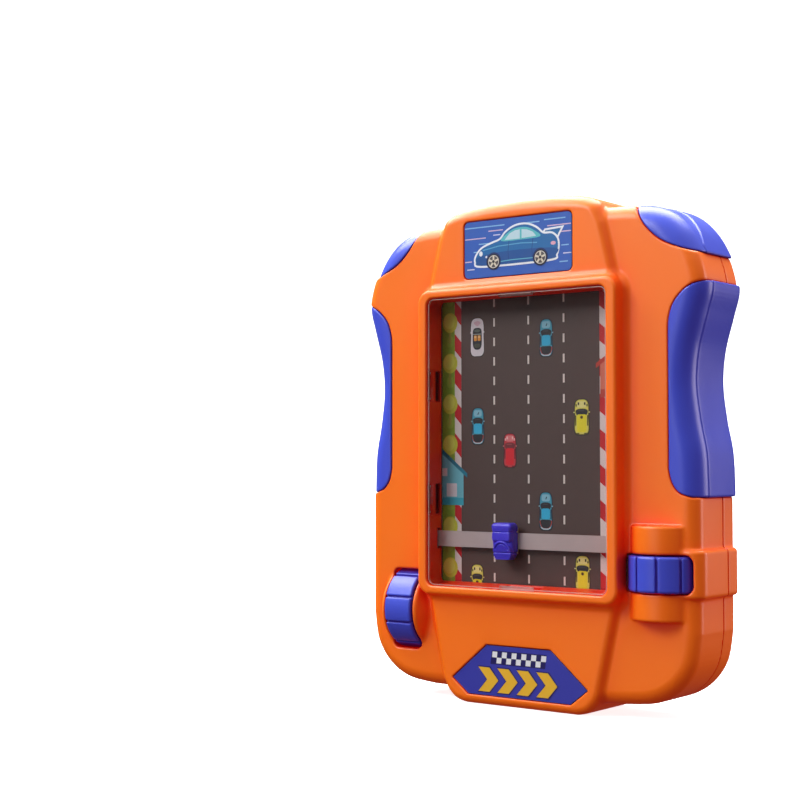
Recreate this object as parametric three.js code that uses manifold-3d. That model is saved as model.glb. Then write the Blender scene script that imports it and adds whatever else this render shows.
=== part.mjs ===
// A hand-turned road racing game: a loop of printed road film runs behind a clear window,
// a thumbwheel on the left rolls the film, and a thumbwheel on the right slides a small car
// across the road on a flat belt.
//
// All sizes are millimetres. Shapes are drawn in the toy's own working frame: x across,
// y back from the bezel's front plane, z up from the middle of the window. The group at the
// end moves that frame so that the toy stands on z = 0, centred on the origin.

import * as THREE from 'three';
import { mergeVertices } from 'three/addons/utils/BufferGeometryUtils.js';
import Module from 'manifold-3d';

const wasm = await Module();
wasm.setup();

// ---------------------------------------------------------------- driving dimensions

const GAP = 0.3;                  // clearance left between neighbouring pieces
const WALL = 1.8;                 // moulded wall thickness

const BODY_FRONT = 6;             // front face of the body, behind the bezel plane
const BODY_BACK = 38;             // rear face
const PARTING = 25.8;             // plane where the front and rear shells meet
const PANEL_FRONT = 3.4;          // front face of the raised centre band
const FOOT_Z = -98.5;             // flat underside of the centre band
const TOP_Z = 90.6;               // top of the centre band

const WINDOW = { halfW: 39.7, halfH: 55, corner: 3 };
const BEZEL = { halfW: 43.6, halfH: 58, corner: 5, flare: 2.6 };
const RECESS_WALL = 1.8;          // thickness of the window's side walls
const RECESS_BACK = 10.6;         // rear edge of those walls, just in front of the film

const FILM_FRONT = 11.2;          // printed face of the road film
const FILM_THICK = 0.3;
const FILM_HALF_W = 40;
const ROLLER_R = 3.2;             // film rollers
const ROLLER_Z = 64.9;            // distance of both rollers from the window's middle
const ROLLER_Y = FILM_FRONT + FILM_THICK + GAP + ROLLER_R;
const AXLE_R = 1.2;

const SPEED_WHEEL = { r: 16, x: -53.1, width: 12.6, y: ROLLER_Y, z: -ROLLER_Z };
const SPEED_SLOT = { x0: -59.8, x1: -46.4, z0: -80.3, z1: -49.5, corner: 2.5 };

const STEER_WHEEL = { r: 13.6, x: 56.9, y: 12.6, z: -46.7, width: 12.6 };
const STEER_SLOT = { x0: 44.2, x1: 70.3, z0: -53.3, z1: -40, corner: 3 };
const BOSS = { x: 56.5, r: 12.2, z0: -63, z1: -30 };
const SIDE_BAND = { z0: -54.9, z1: -38.1, proud: 1.9 };

const BELT = { front: 8.6, thick: 0.3, z0: -40.3, z1: -34.3 };
const DRUM_R = STEER_WHEEL.y - BELT.front - BELT.thick - GAP;
const DRUM_FLANGE_R = 4.4;
const IDLER_X = -50;

const LANE_W = 15.4;
const CAR = { x: -LANE_W / 2, halfW: 5.4, z0: -43.6, z1: -30.6, front: 3.6, back: 8.3 };

const TREADS = 10;                // finger pads around each thumbwheel
const GROOVE = { depth: 0.9, width: 1.3 };

const GRIP_PROUD = 1.2;           // how far the grips stand out from the body's side
const CAP_PROUD = 0.7;
const SKIN = 2.2;                 // thickness of the grips and corner caps

const SHELL_SCREWS = [[52, 60], [-52, 60], [53, -12], [-53, -12], [36, -83], [-36, -83]];

// ---------------------------------------------------------------- colours

const ORANGE = { color: 0xf06a1a, roughness: 0.38 };
const VIOLET = { color: 0x4a55d0, roughness: 0.35 };
const CLEAR = { color: 0xf4f6f8, roughness: 0.05, transparent: true, opacity: 0.25 };
const PLATE_BLUE = { color: 0x4a66b8, roughness: 0.4 };
const BADGE_BLUE = { color: 0x3b3aa0, roughness: 0.4 };
const ROAD_GREY = { color: 0x4f403e, roughness: 0.6 };
const FROSTED = { color: 0xb8a8a8, roughness: 0.5, transparent: true, opacity: 0.7 };
const INNER_WHITE = { color: 0xe6e4de, roughness: 0.5 };
const STEEL = { color: 0xb9bcc0, roughness: 0.3, metalness: 1 };

// ---------------------------------------------------------------- solid helpers

const vec2 = (x, y) => new THREE.Vector2(x, y);

function toSolid(geometry) {
  const bare = geometry.clone();
  bare.deleteAttribute('normal');
  bare.deleteAttribute('uv');
  const merged = mergeVertices(bare, 1e-4);
  const vertProperties = new Float32Array(merged.attributes.position.array);
  const triVerts = new Uint32Array(merged.index.array);
  return new wasm.Manifold(new wasm.Mesh({ numProp: 3, vertProperties, triVerts }));
}

function toGeometry(solid) {
  const mesh = solid.getMesh();
  const geometry = new THREE.BufferGeometry();
  geometry.setAttribute('position', new THREE.BufferAttribute(mesh.vertProperties, 3));
  geometry.setIndex(new THREE.BufferAttribute(mesh.triVerts, 1));
  geometry.computeVertexNormals();
  return geometry;
}

const unite = (first, ...rest) => rest.reduce((sum, part) => sum.add(part), first);
const cut = (first, ...rest) => rest.reduce((sum, part) => sum.subtract(part), first);

function box(x0, x1, y0, y1, z0, z1) {
  const geometry = new THREE.BoxGeometry(x1 - x0, y1 - y0, z1 - z0);
  geometry.translate((x0 + x1) / 2, (y0 + y1) / 2, (z0 + z1) / 2);
  return toSolid(geometry);
}

// A round bar between two values along one axis; at is its centre on the other two axes.
function rod(axis, radius, from, to, at, sides = 16) {
  const geometry = new THREE.CylinderGeometry(radius, radius, to - from, sides);
  geometry.translate(0, (from + to) / 2, 0);
  if (axis === 'x') geometry.rotateZ(-Math.PI / 2);
  if (axis === 'z') geometry.rotateX(Math.PI / 2);
  const [a, b] = at;
  const shift = { x: [0, a, b], y: [a, 0, b], z: [a, b, 0] }[axis];
  geometry.translate(...shift);
  return toSolid(geometry);
}

// Front-view outline (x, z) pushed from depth y0 to depth y1.
function prism(points, y0, y1) {
  const geometry = new THREE.ExtrudeGeometry(new THREE.Shape(points), {
    depth: y1 - y0,
    bevelEnabled: false,
  });
  geometry.rotateX(Math.PI / 2);
  geometry.translate(0, y1, 0);
  return toSolid(geometry);
}

// Side-view outline (y, z) pushed from x0 to x1.
function sidePrism(points, x0, x1) {
  const geometry = new THREE.ExtrudeGeometry(new THREE.Shape(points), {
    depth: x1 - x0,
    bevelEnabled: false,
  });
  geometry.applyMatrix4(new THREE.Matrix4().set(0, 0, 1, x0, 1, 0, 0, 0, 0, 1, 0, 0, 0, 0, 0, 1));
  return toSolid(geometry);
}

// Plan-view outline (x, y) pushed from z0 to z1.
function planPrism(points, z0, z1, hole = null) {
  const shape = new THREE.Shape(points);
  if (hole) shape.holes.push(new THREE.Path(hole));
  const geometry = new THREE.ExtrudeGeometry(shape, { depth: z1 - z0, bevelEnabled: false });
  geometry.translate(0, 0, z0);
  return toSolid(geometry);
}

function roundedRect(x0, x1, z0, z1, corner, steps = 3) {
  const points = [];
  const centres = [[x1, z1, 0], [x0, z1, 1], [x0, z0, 2], [x1, z0, 3]];
  for (const [cx, cz, quarter] of centres) {
    const inX = cx - Math.sign(cx - (x0 + x1) / 2) * corner;
    const inZ = cz - Math.sign(cz - (z0 + z1) / 2) * corner;
    for (let i = 0; i <= steps; i++) {
      const angle = (quarter + i / steps) * Math.PI / 2;
      points.push(vec2(inX + corner * Math.cos(angle), inZ + corner * Math.sin(angle)));
    }
  }
  return points;
}

const curve = (points, steps) =>
  new THREE.SplineCurve(points.map(([x, z]) => vec2(x, z))).getPoints(steps);

// Right half, bottom to top, and its mirror image: one closed counter-clockwise outline.
function mirrored(rightHalf) {
  const left = rightHalf.filter(p => p.x > 1e-6).map(p => vec2(-p.x, p.y)).reverse();
  return [...rightHalf, ...left];
}

// The outline moved inwards by distance (outwards when negative), in small steps.
function inset(outline, distance) {
  const steps = Math.max(1, Math.ceil(Math.abs(distance)));
  let points = outline;
  for (let s = 0; s < steps; s++) {
    points = points.map((p, i) => {
      const before = points[(i + points.length - 1) % points.length];
      const after = points[(i + 1) % points.length];
      const a = p.clone().sub(before).normalize();
      const b = after.clone().sub(p).normalize();
      const inward = vec2(-a.y - b.y, a.x + b.x).normalize();
      const stretch = Math.max(0.5, inward.dot(vec2(-a.y, a.x)));
      return p.clone().addScaledVector(inward, distance / steps / stretch);
    });
  }
  return points;
}

// A solid skinned over copies of one outline: profile lists [inset, depth] from front to back.
function slab(outline, profile) {
  const rings = profile.map(([d, y]) => inset(outline, d).map(p => new THREE.Vector3(p.x, y, p.y)));
  const count = outline.length;
  const positions = rings.flat().flatMap(p => [p.x, p.y, p.z]);
  const index = [];
  for (let r = 0; r + 1 < rings.length; r++) {
    for (let i = 0; i < count; i++) {
      const a = r * count + i;
      const b = r * count + (i + 1) % count;
      index.push(a, a + count, b, b, a + count, b + count);
    }
  }
  const last = (rings.length - 1) * count;
  for (const [a, b, c] of THREE.ShapeUtils.triangulateShape(outline, [])) {
    index.push(a, b, c, last + a, last + c, last + b);
  }
  const geometry = new THREE.BufferGeometry();
  geometry.setAttribute('position', new THREE.Float32BufferAttribute(positions, 3));
  geometry.setIndex(index);
  return toSolid(geometry);
}

function circlePoints(cx, cy, radius, from, to, steps) {
  return Array.from({ length: steps + 1 }, (_, i) => {
    const angle = from + (to - from) * i / steps;
    return vec2(cx + radius * Math.cos(angle), cy + radius * Math.sin(angle));
  });
}

// ---------------------------------------------------------------- outlines

const BODY_OUTLINE = mirrored([
  vec2(0, -93.9),
  ...curve([[42, -93.5], [54.6, -91.9], [63.8, -86.8], [69.8, -78.4], [71.9, -67]], 8),
  ...curve([[71.9, -20], [71.3, -5], [69, 7], [67.5, 20], [68.6, 32], [71.9, 44], [74.2, 53],
    [72.9, 61], [70, 68], [66, 74.2], [60.2, 79.5], [53, 82.5], [44, 83.6]], 22),
  vec2(0, 85.2),
]);

const BAND_OUTLINE = mirrored([
  vec2(0, FOOT_Z),
  ...curve([[24.5, FOOT_Z], [29, -97.3], [32.5, -94.2], [34.6, -90.4]], 6),
  vec2(41.3, -60),
  vec2(43, -50),
  vec2(43, 50),
  vec2(40.8, 61),
  vec2(38.6, 70),
  ...curve([[35.8, 80.5], [34.4, 84.8], [31, 87.4], [25, 89], [14, 90.2]], 8),
  vec2(0, TOP_Z),
]);

// Zones that the grips and corner caps cover, on the right-hand side.
const GRIP_ZONE = [
  ...curve([[61.2, -10.5], [62.4, -15], [65, -18.3], [69.4, -20]], 8),
  vec2(82, -20),
  vec2(82, 55),
  ...curve([[74, 54.9], [70.2, 53.6], [66.4, 51], [63.2, 47.2], [61.5, 42], [61.2, 37]], 10),
];
const CAP_ZONE = [
  ...curve([[46.8, 83.8], [49.4, 79.6], [53, 74.8], [58, 70.4], [64, 67.4], [70, 65.4], [80, 63.6]], 9),
  vec2(80, 92),
  vec2(46.4, 92),
];
const BADGE_OUTLINE = [
  vec2(14, -76.2), vec2(-14, -76.2), vec2(-29.4, -89.2), vec2(-22.4, -94.7),
  vec2(22.4, -94.7), vec2(29.4, -89.2),
];
const PICTURE = { x: 23.8, z0: 61.7, z1: 83.2, corner: 2 };

const flipX = points => points.map(p => vec2(-p.x, p.y)).reverse();

// ---------------------------------------------------------------- body volumes

// Body volume, made smaller all round by depth: 0 is the outer skin.
function bodyVolume(depth, proud = 0, front = BODY_FRONT) {
  const f = front + depth;
  const b = BODY_BACK - depth;
  const edge = depth - proud;
  return slab(BODY_OUTLINE, [
    [edge + 5.5, f], [edge + 3, f + 0.4], [edge + 0.9, f + 2], [edge, f + 5.2],
    [edge, b - 6], [edge + 1.5, b - 1.7], [edge + 5.4, b],
  ]);
}

function bandVolume(depth) {
  const f = PANEL_FRONT + depth;
  const b = BODY_BACK - depth;
  return slab(BAND_OUTLINE, [
    [depth + 3.2, f], [depth + 1, f + 0.8], [depth, f + 4.6], [depth, b - 3.2], [depth + 3.2, b],
  ]);
}

function bezelVolume() {
  const { halfW, halfH, corner, flare } = BEZEL;
  const outline = roundedRect(-halfW, halfW, -halfH, halfH, corner, 4);
  return slab(outline, [
    [0.7, 0], [0, 0.8], [-0.8, 4], [-flare, BODY_FRONT + 0.3], [-flare, BODY_FRONT + WALL],
  ]);
}

// Two thin cheeks of this hump guard the sides of the left thumbwheel.
function humpVolume() {
  const profile = [[0, -63.6], [9.2, -63.6], [14.6, -61.4], [15.2, -60.8], [15.2, -45.4],
    [14.6, -44.6], [9.2, -41.8], [0, -41.8]].map(([r, x]) => vec2(r, x));
  const geometry = new THREE.LatheGeometry(profile, 32);
  geometry.rotateZ(-Math.PI / 2);
  geometry.translate(0, SPEED_WHEEL.y, SPEED_WHEEL.z);
  return toSolid(geometry).intersect(box(-70, -35, -5, PARTING, -100, -30));
}

function bossVolume(shrink) {
  const y = STEER_WHEEL.y;
  return rod('z', BOSS.r - shrink, BOSS.z0 + shrink, BOSS.z1 - shrink, [BOSS.x, y], 32)
    .intersect(box(40, 75, -5, y, -70, -20));
}

// Raised strip that wraps round the side to house the right thumbwheel.
function sideBandVolume() {
  const { z0, z1, proud } = SIDE_BAND;
  return bodyVolume(0, proud, BODY_FRONT - 0.9).intersect(box(64, 80, 0, 34, z0, z1));
}

const steerRelief = rod('z', STEER_WHEEL.r + 0.4, STEER_SLOT.z0, STEER_SLOT.z1,
  [STEER_WHEEL.x, STEER_WHEEL.y], 32);
const speedRelief = rod('x', SPEED_WHEEL.r + 0.4, SPEED_SLOT.x0, SPEED_SLOT.x1,
  [SPEED_WHEEL.y, SPEED_WHEEL.z], 32);

const bodyUnderSkin = bodyVolume(SKIN + GAP);
const zones = [GRIP_ZONE, flipX(GRIP_ZONE), CAP_ZONE, flipX(CAP_ZONE)];
const zonePrisms = margin => zones.map(zone => prism(inset(zone, -margin), -5, 45));

function closedShell() {
  const outer = cut(unite(bodyVolume(0), bandVolume(0), bezelVolume(), humpVolume(), bossVolume(0),
    sideBandVolume()), ...zonePrisms(GAP));
  const bandCore = bandVolume(WALL).add(bodyVolume(WALL));
  const cavity = cut(bandCore, ...zonePrisms(WALL)).add(bodyVolume(SKIN + GAP + WALL));
  const facing = box(-45, 45, -5, PANEL_FRONT + 3, -120, 120);
  return cut(unite(outer, bodyUnderSkin), cut(cavity, facing), bossVolume(WALL));
}

const shellBlank = closedShell();

// A screw post on the front shell, with a blind hole open to the rear.
function addPost(shell, x, z, from, to, radius = 2.3, hole = 1) {
  return cut(shell.add(rod('y', radius, from, to, [x, z], 10)),
    rod('y', hole, to - 7, to + 1, [x, z], 8));
}

const FRAME_EARS = [[46.2, 45], [46.2, -20], [-46.2, 45], [-46.2, -20]];
const EAR_FRONT = 18;
const EAR_BACK = 19.8;
const STEER_BRACKET_SCREWS = [[57, -61.2], [57, -26.6]];
const STEER_BRACKET_FRONT = 27;
const IDLER_BRACKET_SCREWS = [[-50, -45.4], [-50, -28.4]];
const IDLER_BRACKET_FRONT = 19;
const WHEEL_BEARING_SCREWS = [[-64.2, -54.5], [-64.2, -74.5]];
const WHEEL_BEARING_FRONT = 20;
const BRACKET_THICK = 1.8;

const TAB_ROWS = [[15.6, 27.4], [-28, -16.2]];
const END_TAB_HALF_W = 7.8;

function frontShell() {
  const { halfW, halfH, corner } = WINDOW;
  const wallOut = RECESS_WALL;
  const recessRing = cut(
    prism(roundedRect(-halfW - wallOut, halfW + wallOut, -halfH - wallOut, halfH + wallOut, corner + wallOut),
      BODY_FRONT, RECESS_BACK),
    prism(roundedRect(-halfW, halfW, -halfH, halfH, corner), 0, 20));
  let shell = cut(shellBlank.intersect(box(-90, 90, -5, PARTING - GAP / 2, -120, 120)),
    prism(roundedRect(-halfW, halfW, -halfH, halfH, corner), -5, 20)).add(recessRing);

  for (const [x, z] of SHELL_SCREWS) shell = addPost(shell, x, z, 6.6, PARTING - GAP / 2, 3.2, 1.3);
  for (const [x, z] of FRAME_EARS) shell = addPost(shell, x, z, 7, EAR_FRONT - GAP);
  for (const [x, z] of STEER_BRACKET_SCREWS) {
    const inBoss = z < BOSS.z1 && z > BOSS.z0;
    shell = addPost(shell, x, z, inBoss ? 1.6 : 7, STEER_BRACKET_FRONT - GAP);
  }
  for (const [x, z] of IDLER_BRACKET_SCREWS) shell = addPost(shell, x, z, 7, IDLER_BRACKET_FRONT - GAP, 2);
  for (const [x, z] of WHEEL_BEARING_SCREWS) shell = addPost(shell, x, z, 8, WHEEL_BEARING_FRONT - GAP, 2);

  const s = SPEED_SLOT;
  const t = STEER_SLOT;
  const speedSlot = prism(roundedRect(s.x0, s.x1, s.z0, s.z1, s.corner), -5, 14);
  const steerSlot = prism(roundedRect(t.x0, t.x1, t.z0, t.z1, t.corner), -5, 14);
  const pictureSeat = prism(roundedRect(-PICTURE.x - GAP, PICTURE.x + GAP, PICTURE.z0 - GAP,
    PICTURE.z1 + GAP, PICTURE.corner), 0, PANEL_FRONT + 1.4);
  const badgeSeat = prism(inset(BADGE_OUTLINE.slice().reverse(), GAP).reverse(), 0, PANEL_FRONT + 1.4);
  shell = cut(shell, speedSlot, steerSlot, speedRelief, steerRelief, pictureSeat, badgeSeat);

  for (const side of [-1, 1]) {
    const near = side * (halfW - 0.2);
    const beltEnd = side * (halfW + wallOut + 0.6);
    shell = shell.subtract(box(Math.min(near, beltEnd), Math.max(near, beltEnd), BODY_FRONT + WALL + 0.1,
      BELT.front + BELT.thick + 1, BELT.z0 - 0.8, BELT.z1 + 0.8));
    const tabEnd = side * (halfW + 1.2);
    for (const [z0, z1] of TAB_ROWS) {
      shell = shell.subtract(box(Math.min(near, tabEnd), Math.max(near, tabEnd), 1.6, RECESS_BACK + 1, z0, z1));
    }
    const endNear = side * (halfH - 0.2);
    const endFar = side * (halfH + 1.2);
    shell = shell.subtract(box(-END_TAB_HALF_W, END_TAB_HALF_W, 1.6, 6, Math.min(endNear, endFar),
      Math.max(endNear, endFar)));
  }
  return shell;
}

const SCREW_SEAT = 33.4;          // depth of the counterbore floor under each screw head

function rearShell() {
  let shell = shellBlank.intersect(box(-90, 90, PARTING + GAP / 2, 60, -120, 120));
  for (const [x, z] of SHELL_SCREWS) {
    shell = cut(shell.add(rod('y', 4.6, PARTING + GAP / 2, BODY_BACK - 1, [x, z], 12)),
      rod('y', 1.5, PARTING - 1, BODY_BACK, [x, z], 8),
      rod('y', 3.3, SCREW_SEAT, BODY_BACK + 2, [x, z], 16));
  }
  return shell.subtract(steerRelief);
}

// ---------------------------------------------------------------- outer pieces

function skinPiece(zone, proud) {
  return bodyVolume(0, proud, BODY_FRONT - 0.2).intersect(prism(zone, -5, 45)).subtract(bodyVolume(SKIN));
}

// Clear tray that snaps into the window: a face plate, a short skirt and six tabs.
function windowLens() {
  const x = WINDOW.halfW - GAP;
  const z = WINDOW.halfH - GAP;
  const skirt = 0.9;
  const face = prism(roundedRect(-x, x, -z, z, WINDOW.corner - GAP), 1, 5);
  const hollow = prism(roundedRect(-x + skirt, x - skirt, -z + skirt, z - skirt, 2), 2.2, 6);
  let lens = face.subtract(hollow);
  for (const side of [-1, 1]) {
    for (const [z0, z1] of TAB_ROWS) {
      lens = lens.add(box(side > 0 ? x - skirt : -x - 0.9, side > 0 ? x + 0.9 : -x + skirt, 3, 5,
        z0 + 0.6, z1 - 0.6));
    }
    lens = lens.add(box(-END_TAB_HALF_W + 0.6, END_TAB_HALF_W - 0.6, 3, 5,
      side > 0 ? z - skirt : -z - 0.9, side > 0 ? z + 0.9 : -z + skirt));
  }
  return lens;
}

const picturePlate = () => prism(
  roundedRect(-PICTURE.x, PICTURE.x, PICTURE.z0, PICTURE.z1, PICTURE.corner - 0.2),
  PANEL_FRONT + 0.4, PANEL_FRONT + 1.1);

const badgePlate = () => prism(BADGE_OUTLINE, PANEL_FRONT + 0.4, PANEL_FRONT + 1.1);

// ---------------------------------------------------------------- thumbwheels

// Outline of a treaded wheel about (0, 0): flat-bottomed grooves between rounded finger pads.
function treadOutline(radius, phase) {
  const points = [];
  const pitch = 2 * Math.PI / TREADS;
  const half = GROOVE.width / radius / 2;
  for (let k = 0; k < TREADS; k++) {
    const groove = phase + k * pitch;
    points.push(...circlePoints(0, 0, radius - GROOVE.depth, groove - half, groove + half, 1));
    points.push(...circlePoints(0, 0, radius, groove + half * 1.4, groove + pitch - half * 1.4, 4));
  }
  return points;
}

function speedWheel() {
  const { r, x, width, y, z } = SPEED_WHEEL;
  const outline = treadOutline(r, Math.PI / TREADS).map(p => vec2(p.x + y, p.y + z));
  return sidePrism(outline, x - width / 2, x + width / 2)
    .subtract(rod('x', AXLE_R + GAP, x - width, x + width, [y, z], 12));
}

function steerWheel() {
  const { r, x, width, y, z } = STEER_WHEEL;
  const firstGroove = -Math.PI / 2 + Math.PI / 15;
  const outline = treadOutline(r, firstGroove).map(p => vec2(p.x + x, p.y + y));
  return planPrism(outline, z - width / 2, z + width / 2)
    .subtract(rod('z', AXLE_R + GAP, z - width, z + width, [x, y], 12));
}

// ---------------------------------------------------------------- film drive

function roller(z) {
  const length = FILM_HALF_W + 0.2;
  return rod('x', ROLLER_R, -length, length, [ROLLER_Y, z], 24)
    .subtract(rod('x', AXLE_R + GAP, -length - 1, length + 1, [ROLLER_Y, z], 12));
}

function roadFilm() {
  const loop = (radius, steps) => [
    ...circlePoints(ROLLER_Y, ROLLER_Z, radius, 0, Math.PI, steps),
    ...circlePoints(ROLLER_Y, -ROLLER_Z, radius, Math.PI, 2 * Math.PI, steps),
  ];
  const inner = ROLLER_R + GAP;
  return sidePrism(loop(inner + FILM_THICK, 12), -FILM_HALF_W, FILM_HALF_W)
    .subtract(sidePrism(loop(inner, 12), -FILM_HALF_W - 1, FILM_HALF_W + 1));
}

const FRAME_IN = FILM_HALF_W + 0.8;
const FRAME_OUT = FRAME_IN + 1.8;

const guidePlate = () => box(-FRAME_IN + 0.4, FRAME_IN - 0.4, 11.8, 13.2, -58, 58);

// Side plate that carries one end of both rollers.
function filmFrame(side) {
  const span = (a, b) => (side > 0 ? [a, b] : [-b, -a]);
  let plate = box(...span(FRAME_IN, FRAME_OUT), RECESS_BACK + GAP, 22, -71, 71);
  for (const [x, z] of FRAME_EARS.filter(([ex]) => ex * side > 0)) {
    plate = plate.add(box(...span(FRAME_OUT - 0.5, 49.2), EAR_FRONT, EAR_BACK, z - 3.5, z + 3.5))
      .subtract(rod('y', 1.1, EAR_FRONT - 1, EAR_BACK + 1, [x, z], 10));
  }
  const beltBack = 2 * STEER_WHEEL.y - BELT.front;
  plate = plate.subtract(box(...span(FRAME_IN - 1, FRAME_OUT + 1), beltBack - 1.4, beltBack + 1.1,
    BELT.z0 - 0.8, BELT.z1 + 0.8));
  for (const z of [-ROLLER_Z, ROLLER_Z]) {
    plate = plate.subtract(rod('x', AXLE_R + GAP, -60, 60, [ROLLER_Y, z], 12));
  }
  return plate;
}

function wheelBearing() {
  const back = WHEEL_BEARING_FRONT + BRACKET_THICK;
  let bearing = box(-62.6, -61, 9, back, -73, -57)
    .add(box(-66.6, -61, WHEEL_BEARING_FRONT, back, -77.5, -51.5))
    .subtract(rod('x', AXLE_R + GAP, -70, -50, [ROLLER_Y, -ROLLER_Z], 12));
  for (const [x, z] of WHEEL_BEARING_SCREWS) {
    bearing = bearing.subtract(rod('y', 1.1, WHEEL_BEARING_FRONT - 1, back + 1, [x, z], 10));
  }
  return bearing;
}

// ---------------------------------------------------------------- steering drive

function drum(x) {
  const y = STEER_WHEEL.y;
  return unite(
    rod('z', DRUM_R, -40.1, -33.4, [x, y], 20),
    rod('z', DRUM_FLANGE_R, -33.9, -33, [x, y], 20),
  ).subtract(rod('z', AXLE_R + GAP, -50, -20, [x, y], 12));
}

function carBelt() {
  const y = STEER_WHEEL.y;
  const loop = radius => [
    ...circlePoints(STEER_WHEEL.x, y, radius, -Math.PI / 2, Math.PI / 2, 10),
    ...circlePoints(IDLER_X, y, radius, Math.PI / 2, 3 * Math.PI / 2, 10),
  ];
  const outer = y - BELT.front;
  return planPrism(loop(outer), BELT.z0, BELT.z1, loop(outer - BELT.thick).reverse());
}

// A U-shaped bracket: two arms with a bore each, and a web with two screw holes behind.
function bracket(x, halfW, webFront, webZ, arms, screws) {
  const back = webFront + BRACKET_THICK;
  let body = box(x - halfW, x + halfW, webFront, back, webZ[0], webZ[1]);
  for (const [z0, z1] of arms) body = body.add(box(x - halfW, x + halfW, 9.6, back, z0, z1));
  body = body.subtract(rod('z', AXLE_R + GAP, -80, -10, [x, STEER_WHEEL.y], 12));
  for (const [sx, sz] of screws) body = body.subtract(rod('y', 1.1, webFront - 1, back + 1, [sx, sz], 10));
  return body;
}

const steerBracket = () => bracket(STEER_WHEEL.x, 5, STEER_BRACKET_FRONT, [-64.2, -24],
  [[-57.2, -55.4], [-32.4, -30.6]], STEER_BRACKET_SCREWS);

const idlerBracket = () => bracket(IDLER_X, 4, IDLER_BRACKET_FRONT, [-47.6, -26.2],
  [[-43, -41.4], [-32.4, -30.8]], IDLER_BRACKET_SCREWS);

// Little open-top racing car that rides on the belt, nose up the road.
function gameCar() {
  const { x, halfW, z0, z1, front, back } = CAR;
  const mid = (front + back) / 2 + 0.4;
  const body = prism(roundedRect(x - halfW, x + halfW, z0, z1, 2.2), mid, back);
  const cabin = slab(roundedRect(x - halfW + 0.6, x + halfW - 0.6, z0 + 2, z1 - 3.6, 2),
    [[1.2, front], [0.3, front + 0.6], [0, mid + 0.2]]);
  return body.add(cabin);
}

function carClip() {
  const { x } = CAR;
  const back = BELT.front + BELT.thick + GAP;
  return unite(
    box(x - 3.6, x + 3.6, back, back + 1.1, -42.2, -32.4),
    box(x - 3.6, x + 3.6, CAR.back + GAP, back + 0.5, -42.2, -40.8),
    box(x - 3.6, x + 3.6, CAR.back + GAP, back + 0.5, -33.8, -32.4),
  );
}

// ---------------------------------------------------------------- screws

// A pan-head screw seen from behind: head at the rear, shank running forward.
function screw(x, z, seat, length, headR, shankR) {
  return unite(
    rod('y', headR, seat + GAP, seat + GAP + 1.6, [x, z], 12),
    rod('y', shankR, seat + GAP - length, seat + GAP + 0.5, [x, z], 6),
  );
}

// ---------------------------------------------------------------- assembly

const toy = new THREE.Group();
toy.position.set(0, -(BODY_BACK - 1) / 2, -FOOT_Z);

function addPiece(name, solid, finish) {
  const mesh = new THREE.Mesh(toGeometry(solid), new THREE.MeshStandardMaterial(finish));
  mesh.name = name;
  toy.add(mesh);
}

addPiece('front_shell', frontShell(), ORANGE);
addPiece('rear_shell', rearShell(), ORANGE);
addPiece('window_lens', windowLens(), CLEAR);
addPiece('picture_plate', picturePlate(), PLATE_BLUE);
addPiece('badge_plate', badgePlate(), BADGE_BLUE);
addPiece('grip_right', skinPiece(GRIP_ZONE, GRIP_PROUD), VIOLET);
addPiece('grip_left', skinPiece(flipX(GRIP_ZONE), GRIP_PROUD), VIOLET);
addPiece('corner_cap_right', skinPiece(CAP_ZONE, CAP_PROUD), VIOLET);
addPiece('corner_cap_left', skinPiece(flipX(CAP_ZONE), CAP_PROUD), VIOLET);

addPiece('speed_wheel', speedWheel(), VIOLET);
addPiece('lower_roller', roller(-ROLLER_Z), INNER_WHITE);
addPiece('lower_axle', rod('x', AXLE_R, -64.4, 44, [ROLLER_Y, -ROLLER_Z], 12), STEEL);
addPiece('upper_roller', roller(ROLLER_Z), INNER_WHITE);
addPiece('upper_axle', rod('x', AXLE_R, -44, 44, [ROLLER_Y, ROLLER_Z], 12), STEEL);
addPiece('road_film', roadFilm(), ROAD_GREY);
addPiece('film_guide_plate', guidePlate(), INNER_WHITE);
addPiece('film_frame_left', filmFrame(-1), INNER_WHITE);
addPiece('film_frame_right', filmFrame(1), INNER_WHITE);
addPiece('wheel_bearing', wheelBearing(), INNER_WHITE);

addPiece('steering_wheel', steerWheel(), VIOLET);
addPiece('steering_drum', drum(STEER_WHEEL.x), INNER_WHITE);
addPiece('steering_axle', rod('z', AXLE_R, -58.2, -29.6, [STEER_WHEEL.x, STEER_WHEEL.y], 12), STEEL);
addPiece('steering_bracket', steerBracket(), INNER_WHITE);
addPiece('idler_drum', drum(IDLER_X), INNER_WHITE);
addPiece('idler_pin', rod('z', AXLE_R, -43.1, -30.7, [IDLER_X, STEER_WHEEL.y], 12), STEEL);
addPiece('idler_bracket', idlerBracket(), INNER_WHITE);
addPiece('car_belt', carBelt(), FROSTED);
addPiece('game_car', gameCar(), VIOLET);
addPiece('car_clip', carClip(), INNER_WHITE);

SHELL_SCREWS.forEach(([x, z], i) => {
  addPiece(`shell_screw_${i + 1}`, screw(x, z, SCREW_SEAT, 12, 2.7, 1.1), STEEL);
});
const innerScrews = [
  ['frame_screw', FRAME_EARS, EAR_BACK],
  ['steering_bracket_screw', STEER_BRACKET_SCREWS, STEER_BRACKET_FRONT + BRACKET_THICK],
  ['idler_bracket_screw', IDLER_BRACKET_SCREWS, IDLER_BRACKET_FRONT + BRACKET_THICK],
  ['wheel_bearing_screw', WHEEL_BEARING_SCREWS, WHEEL_BEARING_FRONT + BRACKET_THICK],
];
for (const [name, places, seat] of innerScrews) {
  places.forEach(([x, z], i) => addPiece(`${name}_${i + 1}`, screw(x, z, seat, 7, 2, 0.7), STEEL));
}

export default toy;
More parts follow.
